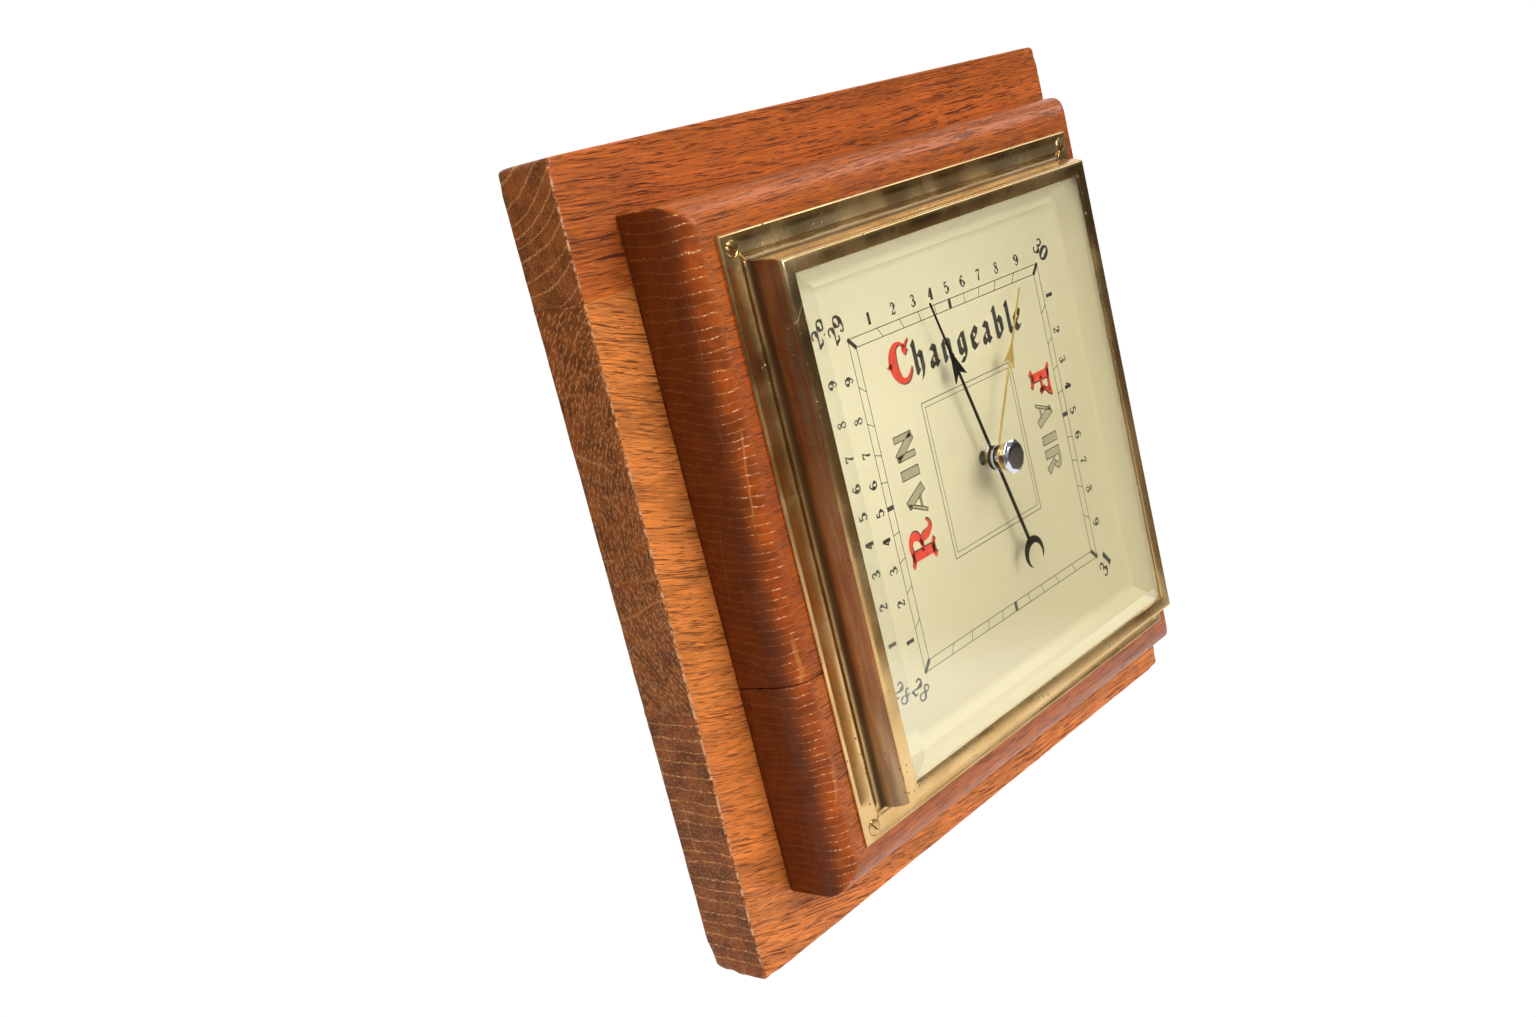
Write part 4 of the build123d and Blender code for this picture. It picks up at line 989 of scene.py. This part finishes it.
# ---- dial
def dial_tray():
    """The pressed tray: flat, a soft cove, sloping sides with mitred corners, and a rim under the glass."""
    bore = 2.5
    cove_end = (DIAL_FLAT + 1.7, DIAL_FACE + 1.2)
    front = [(DIAL_FLAT - 1.2, DIAL_FACE)]
    front += arc((DIAL_FLAT - 1.0, DIAL_FACE), (DIAL_FLAT + 0.5, DIAL_FACE + 0.35), cove_end, 6)
    front += [cove_end, (DIAL_RIM - 0.6, DIAL_RIM_DEPTH - 0.55), (DIAL_RIM - 0.15, DIAL_RIM_DEPTH - 0.15)]
    front += [(DIAL_RIM + 0.2, DIAL_RIM_DEPTH), (GLASS_REACH, DIAL_RIM_DEPTH)]
    rim_back = DIAL_RIM_DEPTH - DIAL_SHEET
    back = [(GLASS_REACH, rim_back), (DIAL_RIM + 0.6, rim_back), (DIAL_FLAT + 0.9, DIAL_BACK)]
    along = 24
    points, faces = square_loops(front + back, along)
    count = 4 * along
    for depth, ring in ((DIAL_FACE, 0), (DIAL_BACK, len(front + back) - 1)):
        faces += bridge(ring * count, len(points), count)
        for outer in points[ring * count : (ring + 1) * count]:
            a = math.atan2(outer.z, outer.x)
            points.append(point(bore * math.cos(a), depth, bore * math.sin(a)))
    faces += bridge(len(points) - 2 * count, len(points) - count, count)
    return points, faces


new_piece("dial_tray", *dial_tray(), "dial", slot="dial_enamel", replaces=("dial",), sharp=40)


# ---- print on the dial
def smooth_path(points, steps=7):
    """A curve through (x, y, width) points."""
    if len(points) < 3:
        return points

    def between(p, q, r, s, t):
        square, cube = (2 * p - 5 * q + 4 * r - s) * t * t, (3 * q - p - 3 * r + s) * t**3
        return 0.5 * (2 * q + (r - p) * t + square + cube)

    made = []
    padded = [points[0]] + points + [points[-1]]
    for i in range(len(points) - 1):
        for k in range(steps):
            made.append([between(*four, k / steps) for four in zip(*padded[i : i + 4])])
    return made + [points[-1]]


def ribbon(path, grow=0.0):
    """The left and right edge of a stroke along (x, y, width) points. grow widens and lengthens it."""
    left, right = [], []
    last = len(path) - 1
    for i, (x, y, width) in enumerate(path):
        ax, ay, _ = path[max(i - 1, 0)]
        bx, by, _ = path[min(i + 1, last)]
        length = math.hypot(bx - ax, by - ay) or 1e-9
        tx, ty = (bx - ax) / length, (by - ay) / length
        if i in (0, last) and grow:
            x += (tx if i else -tx) * grow
            y += (ty if i else -ty) * grow
        half = max(width, 0.01) / 2 + grow
        left.append((x - ty * half, y + tx * half))
        right.append((x + ty * half, y - tx * half))
    return left, right


def glyph_path(path, wide=1.0, heavy=1.0):
    """A stroke of a figure or letter as a smooth curve, widened and made heavier."""
    return smooth_path([(x / 100 * wide, y / 100, w / 100 * heavy) for x, y, w in path])


def nib_stroke(path):
    """Left and right edges of the segments that a broad slanting nib leaves along a letter's stroke."""
    nx, ny = NIB / 2 * math.cos(NIB_SLANT), NIB / 2 * math.sin(NIB_SLANT)
    for pair in zip(path, path[1:]):
        yield [[(x / 100 + sign * nx, y / 100 + sign * ny) for x, y in pair] for sign in (-1, 1)]


PRINT_THICK = 0.012


class Print:
    """Gathers thin printed shapes into one piece. place maps a glyph's (x, y) to the dial's (x, z)."""

    def __init__(self, name, look, lift):
        self.name, self.look, self.lift = name, look, lift
        self.points, self.faces = [], []

    def strip(self, left, right, place):
        """A closed thin slab between two edges."""
        n = len(left)
        base = len(self.points)
        for depth in (DIAL_FACE + self.lift - PRINT_THICK, DIAL_FACE + self.lift):
            for edge in (left, right):
                for x, y in edge:
                    px, pz = place(x, y)
                    self.points.append(point(px, depth, pz))

        a, b, c, d = (base + k * n for k in range(4))
        for i in range(n - 1):
            for one, other in ((a, b), (c, d), (a, c), (b, d)):
                self.faces.append((one + i, one + i + 1, other + i + 1, other + i))
        for i in (0, n - 1):
            self.faces.append((a + i, b + i, d + i, c + i))

    def stroke(self, path, place, grow=0.0):
        self.strip(*ribbon(path, grow), place)

    def line(self, start, end, width):
        self.stroke([(*start, width), (*end, width)], lambda x, y: (x, y))

    def done(self):
        new_piece(self.name, self.points, self.faces, self.look, slot="dial_enamel", sharp=40)


def turned(origin, x, y, angle):
    """The point at (x, y) from the origin, on axes turned by an angle."""
    c, s = math.cos(angle), math.sin(angle)
    return origin[0] + x * c - y * s, origin[1] + x * s + y * c


def placer(origin, scale, turn=0.0, lean=0.0):
    """Maps glyph units to the dial: scaled, leaned like an italic, turned by degrees and moved."""
    a = math.radians(turn)

    def place(x, y):
        return turned(origin, (x + lean * y) * scale, y * scale, a)

    return place


# Figures and letters are strokes of (x, y, width) points, in hundredths of their height
THIN, FULL, THICK = 11.5, 21.6, 27
FIGURES = {
    "0": [[(32, 100, THIN), (10, 80, FULL), (6, 50, THICK), (10, 20, FULL), (32, 0, THIN)],
          [(32, 100, THIN), (54, 80, FULL), (58, 50, THICK), (54, 20, FULL), (32, 0, THIN)]],
    "1": [[(34, 100, THICK), (34, 0, THICK)], [(14, 80, THIN), (26, 86, THIN), (36, 98, THIN)],
          [(14, 2, THIN), (54, 2, THIN)]],
    "2": [[(14, 72, 15), (12, 80, 10), (18, 94, THIN), (34, 99, THIN), (50, 90, 12), (53, 72, THICK),
           (42, 48, 13), (22, 24, 8), (8, 4, THIN)], [(8, 5, THIN), (24, 10, 14), (42, 5, 15),
           (55, 8, 8), (58, 22, THIN)]],
    "3": [[(14, 78, 14), (16, 92, 7), (32, 99, THIN), (50, 88, 13), (50, 66, 13), (34, 53, THIN),
           (24, 52, THIN)], [(30, 53, THIN), (50, 44, 12), (56, 25, THICK), (46, 6, 11), (28, 1, THIN),
           (12, 10, 8), (10, 24, 14)]],
    "4": [[(44, 100, THIN), (30, 78, THIN), (3, 32, THIN)], [(3, 31, THIN), (62, 31, THIN)],
          [(44, 100, THICK), (44, 0, THICK)], [(26, 2, THIN), (60, 2, THIN)]],
    "5": [[(14, 98, THIN), (30, 94, 12), (50, 98, 6)], [(14, 100, THIN), (12, 52, THIN)],
          [(12, 54, THIN), (30, 63, THIN), (50, 52, 13), (56, 32, THICK), (46, 8, 12), (28, 1, THIN),
           (12, 8, 8), (10, 22, 14)]],
    "6": [[(50, 80, 14), (46, 93, 7), (34, 99, THIN), (16, 84, 11), (8, 50, THICK), (12, 18, 14),
           (32, 1, THIN)], [(32, 1, THIN), (50, 10, 10), (56, 30, THICK), (48, 52, 10), (32, 58, THIN),
           (14, 42, THIN)]],
    "7": [[(8, 76, THIN), (10, 98, THIN)], [(10, 95, 8), (24, 98, 13), (40, 91, 10), (56, 99, THIN)],
          [(57, 99, THIN), (44, 70, 8), (30, 38, 16), (27, 0, 18)]],
    "8": [[(32, 99, THIN), (16, 92, 10), (13, 78, 12), (26, 62, 13), (46, 44, 15), (55, 24, 14),
           (46, 6, 8), (32, 1, THIN)], [(32, 1, THIN), (16, 6, 8), (8, 24, 12), (18, 44, 7),
           (40, 60, THIN), (50, 78, 9), (46, 93, 8), (32, 99, THIN)]],
}
FIGURES["9"] = [[(64 - x, 100 - y, w) for x, y, w in stroke] for stroke in FIGURES["6"]]

SCALE_OUT, SCALE_IN = 53.3, 50.2
FINE_LINE = 0.26
LETTER_LIFT = 0.02
ink = Print("dial_print", "ink", LETTER_LIFT)


def figure(text, origin, height, turn, lean=0.0, pitch=0.66, heavy=1.0):
    """Figures centred on a point of the dial, pitch apart in heights, with strokes made heavier."""
    for i, mark in enumerate(text):
        start = turned(origin, pitch * height * (i - len(text) / 2), -0.5 * height, math.radians(turn))
        place = placer(start, height, turn, lean)
        for path in FIGURES[mark]:
            ink.stroke(glyph_path(path, heavy=heavy), place)


def on_square(half, degrees):
    """The point of a square of that half-width seen from the centre at an angle clockwise of up."""
    a = math.radians(degrees)
    s = half / max(abs(math.sin(a)), abs(math.cos(a)))
    return s * math.sin(a), s * math.cos(a)


def square_line(half, width):
    """A square outline, its sides long enough to close the corners."""
    end = half + width / 2
    for x0, z0, x1, z1 in ((-end, -half, end, -half), (half, -end, half, end),
                           (end, half, -end, half), (-half, end, -half, -end)):
        ink.line((x0, z0), (x1, z1), width)


for half, width in ((SCALE_OUT, FINE_LINE), (SCALE_IN, FINE_LINE), (25.75, 0.28), (24.1, 0.22)):
    square_line(half, width)

# 28 to 31 inches in tenths from the lower left corner; the bottom side has ticks and no figures
for tenth in range(40):
    angle = -135 + 9 * tenth
    inch, digit = divmod(tenth, 10)
    width = {0: 1.35, 5: 1.5}.get(digit, FINE_LINE)
    ink.line(on_square(SCALE_OUT + 0.15, angle), on_square(SCALE_IN - 0.1, angle), width)
    if digit and inch < 3:
        figure(str(digit), on_square(57.1, angle), 3.6, (90, 0, -90)[inch], heavy=1.25)
for text, x, z, turn in (("28", -1, -1, -45), ("29", -1, 1, 45), ("30", 1, 1, -45), ("31", 1, -1, 45)):
    figure(text, (x * 57.4, z * 57.4), 5.6, turn, lean=0.12, pitch=0.78, heavy=1.1)

# Weather words. The initials are drawn with a soft brush, the small letters with a broad nib.
NIB, NIB_SLANT = 0.36, math.radians(40)
BLACKLETTER = {
    "h": [[(12, 142), (20, 134), (20, 16), (30, 6)], [(24, 76), (42, 90), (62, 78), (62, 12),
           (46, -22)]],
    "a": [[(12, 78), (30, 92), (54, 80), (54, 16), (66, 6)], [(52, 56), (18, 40), (16, 18), (30, 6),
           (52, 18)]],
    "n": [[(8, 84), (20, 92), (20, 16), (30, 6)], [(24, 74), (42, 90), (62, 78), (62, 16), (74, 6)]],
    "g": [[(44, 92), (18, 76), (18, 22), (34, 8), (58, 20)], [(30, 84), (56, 88), (58, 0), (44, -24),
           (16, -20)], [(56, 86), (72, 96)]],
    "e": [[(46, 50), (60, 74), (38, 92), (18, 76), (18, 22), (34, 6), (58, 16)], [(20, 42), (50, 56)]],
    "b": [[(12, 142), (20, 134), (20, 18), (38, 6), (60, 20), (60, 74), (40, 92), (24, 78)]],
    "l": [[(12, 142), (20, 134), (20, 18), (34, 6)]],
}
X_HEIGHT, BASE_LINE = 7.3, 34.7
LETTER_STARTS = (-24.9, -16.9, -9.6, -1.0, 6.6, 13.3, 21.1, 28.7, 32.5)
for letter, start in zip("hangeable", LETTER_STARTS):
    for path in BLACKLETTER[letter]:
        for left, right in nib_stroke(path):
            ink.strip(left, right, placer((start, BASE_LINE), X_HEIGHT))

CAPITALS = {
    "C": [[(80, 70, 20), (72, 80, 16), (84, 92, 7), (96, 102, 3)], [(74, 86, 10), (56, 97, 8),
           (36, 93, 16), (22, 72, 30), (19, 48, 33), (26, 24, 28), (44, 6, 16), (66, 5, 12), (84, 20, 8),
           (90, 32, 4)], [(-8, 50, 2), (2, 50, 9), (12, 50, 18)]],
    "R": [[(24, 98, 26), (24, 2, 26)], [(2, 104, 15), (6, 97, 13), (24, 94, 12)], [(2, -1, 15),
           (8, 5, 13), (24, 7, 12), (40, 5, 13), (46, -1, 15)], [(24, 93, 13), (52, 96, 14),
           (72, 84, 22), (72, 66, 22), (54, 52, 12), (30, 50, 10)], [(46, 52, 12), (62, 40, 22),
           (66, 20, 22), (80, 4, 14), (96, 8, 7), (102, 18, 3)]],
    "F": [[(24, 98, 26), (24, 4, 26)], [(2, 104, 16), (6, 96, 13), (24, 93, 14)], [(2, -1, 16),
           (8, 5, 13), (24, 7, 12), (42, 5, 13), (48, -1, 16)], [(24, 93, 12), (60, 91, 10),
           (78, 90, 16), (92, 98, 4)], [(78, 88, 20), (64, 66, 8), (60, 60, 5)], [(24, 52, 10),
           (54, 52, 10), (70, 46, 20)], [(60, 66, 12), (68, 40, 17)]],
    "A": [[(8, 0, 14), (46, 98, 14)], [(42, 100, 34), (84, 0, 34)], [(22, 27, 12), (70, 27, 12)]],
    "I": [[(18, 0, 36), (18, 100, 36)]],
    "N": [[(14, 0, 24), (14, 100, 24)], [(14, 98, 34), (78, 2, 34)], [(80, 0, 24), (80, 100, 24)]],
    "R_plain": [[(19, 0, 36), (19, 100, 36)], [(30, 92, 16), (58, 92, 18), (76, 76, 28), (62, 56, 18),
                 (34, 50, 14)], [(50, 56, 20), (84, 2, 32)]],
}
shadow = Print("dial_shadow_print", "ink", LETTER_LIFT - 0.006)
red = Print("dial_red_print", "red", LETTER_LIFT + 0.012)
hatch = Print("dial_hatched_print", "hatch", LETTER_LIFT + 0.012)


def initial(letter, origin, height, turn=0.0, wide=1.0):
    """A red initial with a black shadow to its right and below."""
    for layer, shift in ((red, 0.0), (shadow, 0.42)):
        place = placer(turned(origin, shift, -shift, math.radians(turn)), height, turn)
        for path in CAPITALS[letter]:
            layer.stroke(glyph_path(path, wide), place)


def outlined(letter, origin, height, turn, wide):
    """A letter of fine hatching inside a black outline."""
    place = placer(origin, height, turn)
    for path in CAPITALS[letter]:
        curve = glyph_path(path, wide)
        hatch.stroke(curve, place, grow=-0.030)
        shadow.stroke(curve, place, grow=0.004)


initial("C", (-37.3, 34.2), 12.6, wide=0.98)
initial("R", (-34.6, -21.2), 12.4, turn=90)
initial("F", (35.6, 19.6), 11.6, turn=-90)
for letter, z, wide in (("A", -6.9, 1.12), ("I", 5.4, 1.05), ("N", 11.4, 0.98)):
    outlined(letter, (-33.9, z), 9.3, 90, wide)
for letter, z, wide in (("A", 8.4, 1.0), ("I", -3.4, 1.05), ("R_plain", -8.4, 0.98)):
    outlined(letter, (34.9, z), 9.0, -90, wide)
for layer in (ink, shadow, red, hatch):
    layer.done()


# ---- hands
for node in ("pressure_hand", "set_hand", "hand_collet", "set_spindle", "knob_washer"):
    made = frame["nodes"][node]
    made.modifiers.new("weld", "WELD").merge_threshold = 0.002 * MM
    soften(made, 0.06, 2, 40).harden_normals = True


# ---- knob
def facetted_knob():
    """A nickel knob cut with eight flats: a waist, a widest girdle, triangular facets and a low dome."""
    back, front = depths("knob")
    flats = 8
    girdle = front - 1.1
    body = [(3.3, back), (3.4, back + 0.3), (5.85, girdle - 0.25), (5.85, girdle)]
    dome = [(4.75, front - 0.25), (4.4, front - 0.16), (2.8, front - 0.06), (1.3, front - 0.01)]
    half_flat = math.pi / flats
    # the dome's corners stand half a flat on from the body's, so triangles join the two
    points = rings(body, steps=flats, turn=half_flat) + rings(dome, steps=flats, turn=2 * half_flat)
    faces = []
    for face in tube(len(body + dome), flats):
        a, b, c, d = face[:4]
        is_facet = len(face) == 4 and a // flats == len(body) - 1
        faces += [(a, b, d), (b, c, d)] if is_facet else [face]
    return points, faces


knob = new_piece("set_knob", *facetted_knob(), "nickel", body="set_hand", slot="nickel", replaces=("knob",),
                 sharp=14)
soften(knob, 0.14, 3, 14)


# ---- camera
CAMERA_PLACE = Vector((-0.4256, -0.3629, 0.1155))
camera = add_object("camera", bpy.data.cameras.new("camera"))
camera.data.sensor_width = 36.0
camera.data.lens = 38.445
camera.data.clip_start, camera.data.clip_end = 0.01, 50.0
look = Vector((0.7008, 0.6807, -0.2135)).normalized()
right = Vector((0.6387, -0.7320, -0.2374)).normalized()
right = (right - look * right.dot(look)).normalized()
axes = Matrix((right, right.cross(look), -look)).transposed()
camera.matrix_world = Matrix.Translation(CAMERA_PLACE) @ axes.to_4x4()
bpy.context.scene.camera = camera


# ---- floor, lamps and surroundings
FLOOR_Z = CAD_BOX[0].z / MM - 60.0
FLOOR_HALF = 6000.0
LIT_CENTRE = (-250.0, 0.0, -185.0)
LIT_NEAR, LIT_FAR = 540.0, 660.0
WHITE = (1.0, 1.0, 1.0)
SEEN_STRENGTH = 1.02


def floor_material():
    """A pale floor that the camera sees as near white, and that lights the object only softly.

    Near the object it glows and is painted pale, a painted pool of light like a lit table top, and further
    off it is painted dark like a dim room.
    """
    s = Shader("pale_floor")
    from_centre = s.vector("LENGTH", s.vector("SUBTRACT", s.place, LIT_CENTRE))
    # painted pool of light: near the object the floor is painted pale and glows, further off it is painted
    # dark
    near = s.fade(from_centre, LIT_NEAR, LIT_FAR)
    pale = s.mix(s.cloud(300, 2), (0.60, 0.60, 0.60), (0.66, 0.66, 0.66))
    s.set(colour=s.mix(near, (0.11, 0.08, 0.05), pale), roughness=0.8)
    s.set(glow=(1.0, 0.97, 0.92), glow_strength=near * 0.38)
    s.split_rays("Is Camera Ray", s.surface, s.light("ShaderNodeEmission", WHITE, SEEN_STRENGTH))
    return s.material


floor_mesh = bpy.data.meshes.new("floor")
corners = ((-1, -1), (1, -1), (1, 1), (-1, 1))
floor_mesh.from_pydata([Vector((x * FLOOR_HALF, y * FLOOR_HALF, FLOOR_Z)) * MM for x, y in corners], [],
                       [(0, 1, 2, 3)])
floor_mesh.materials.append(floor_material())
add_object("floor", floor_mesh)


def lamp(name, place, size, power, colour):
    """A soft square lamp that faces the origin. Its place and size are in metres."""
    light = bpy.data.lights.new(name, "AREA")
    light.shape = "RECTANGLE"
    light.size, light.size_y = size
    light.energy = power
    light.color = colour
    obj = add_object(name, light)
    obj.location = place
    obj.rotation_mode = "QUATERNION"
    obj.rotation_quaternion = (-Vector(place)).to_track_quat("-Z", "Y")


lamp("key", (0.25, -1.22, 0.56), (0.8, 0.7), 11.0, (1.0, 0.98, 0.94))
lamp("right", (0.95, -0.35, 0.85), (0.5, 0.7), 2.2, (1.0, 0.98, 0.95))
lamp("top", (-0.45, -0.3, 1.05), (0.6, 0.5), 9.0, (1.0, 0.98, 0.95))
lamp("back", (0.25, 1.3, 0.5), (0.9, 0.7), 5.0, (1.0, 0.98, 0.95))
lamp("fill", (-1.25, -1.1, 0.56), (0.7, 1.1), 2.0, (1.0, 0.97, 0.93))


def studio():
    """A dim room with a bright backdrop behind the object, which the camera sees as plain white."""
    world = bpy.data.worlds.new("studio")
    bpy.context.scene.world = world
    s = Nodes(world, "ShaderNodeOutputWorld")
    direction = s.node("ShaderNodeTexCoord").outputs["Generated"]
    towards = s.vector("DOT_PRODUCT", direction, Vector((0.62, 0.76, 0.18)).normalized())
    strength = s.band(towards, 0.72, 0.95, 0.14, 1.1)
    lit = s.light("ShaderNodeBackground", (1.0, 0.98, 0.95), strength)
    s.split_rays("Is Camera Ray", lit, s.light("ShaderNodeBackground", WHITE, SEEN_STRENGTH))


studio()

view = bpy.context.scene.view_settings
view.view_transform = "Standard"
view.look = "None"
view.exposure = 0.0
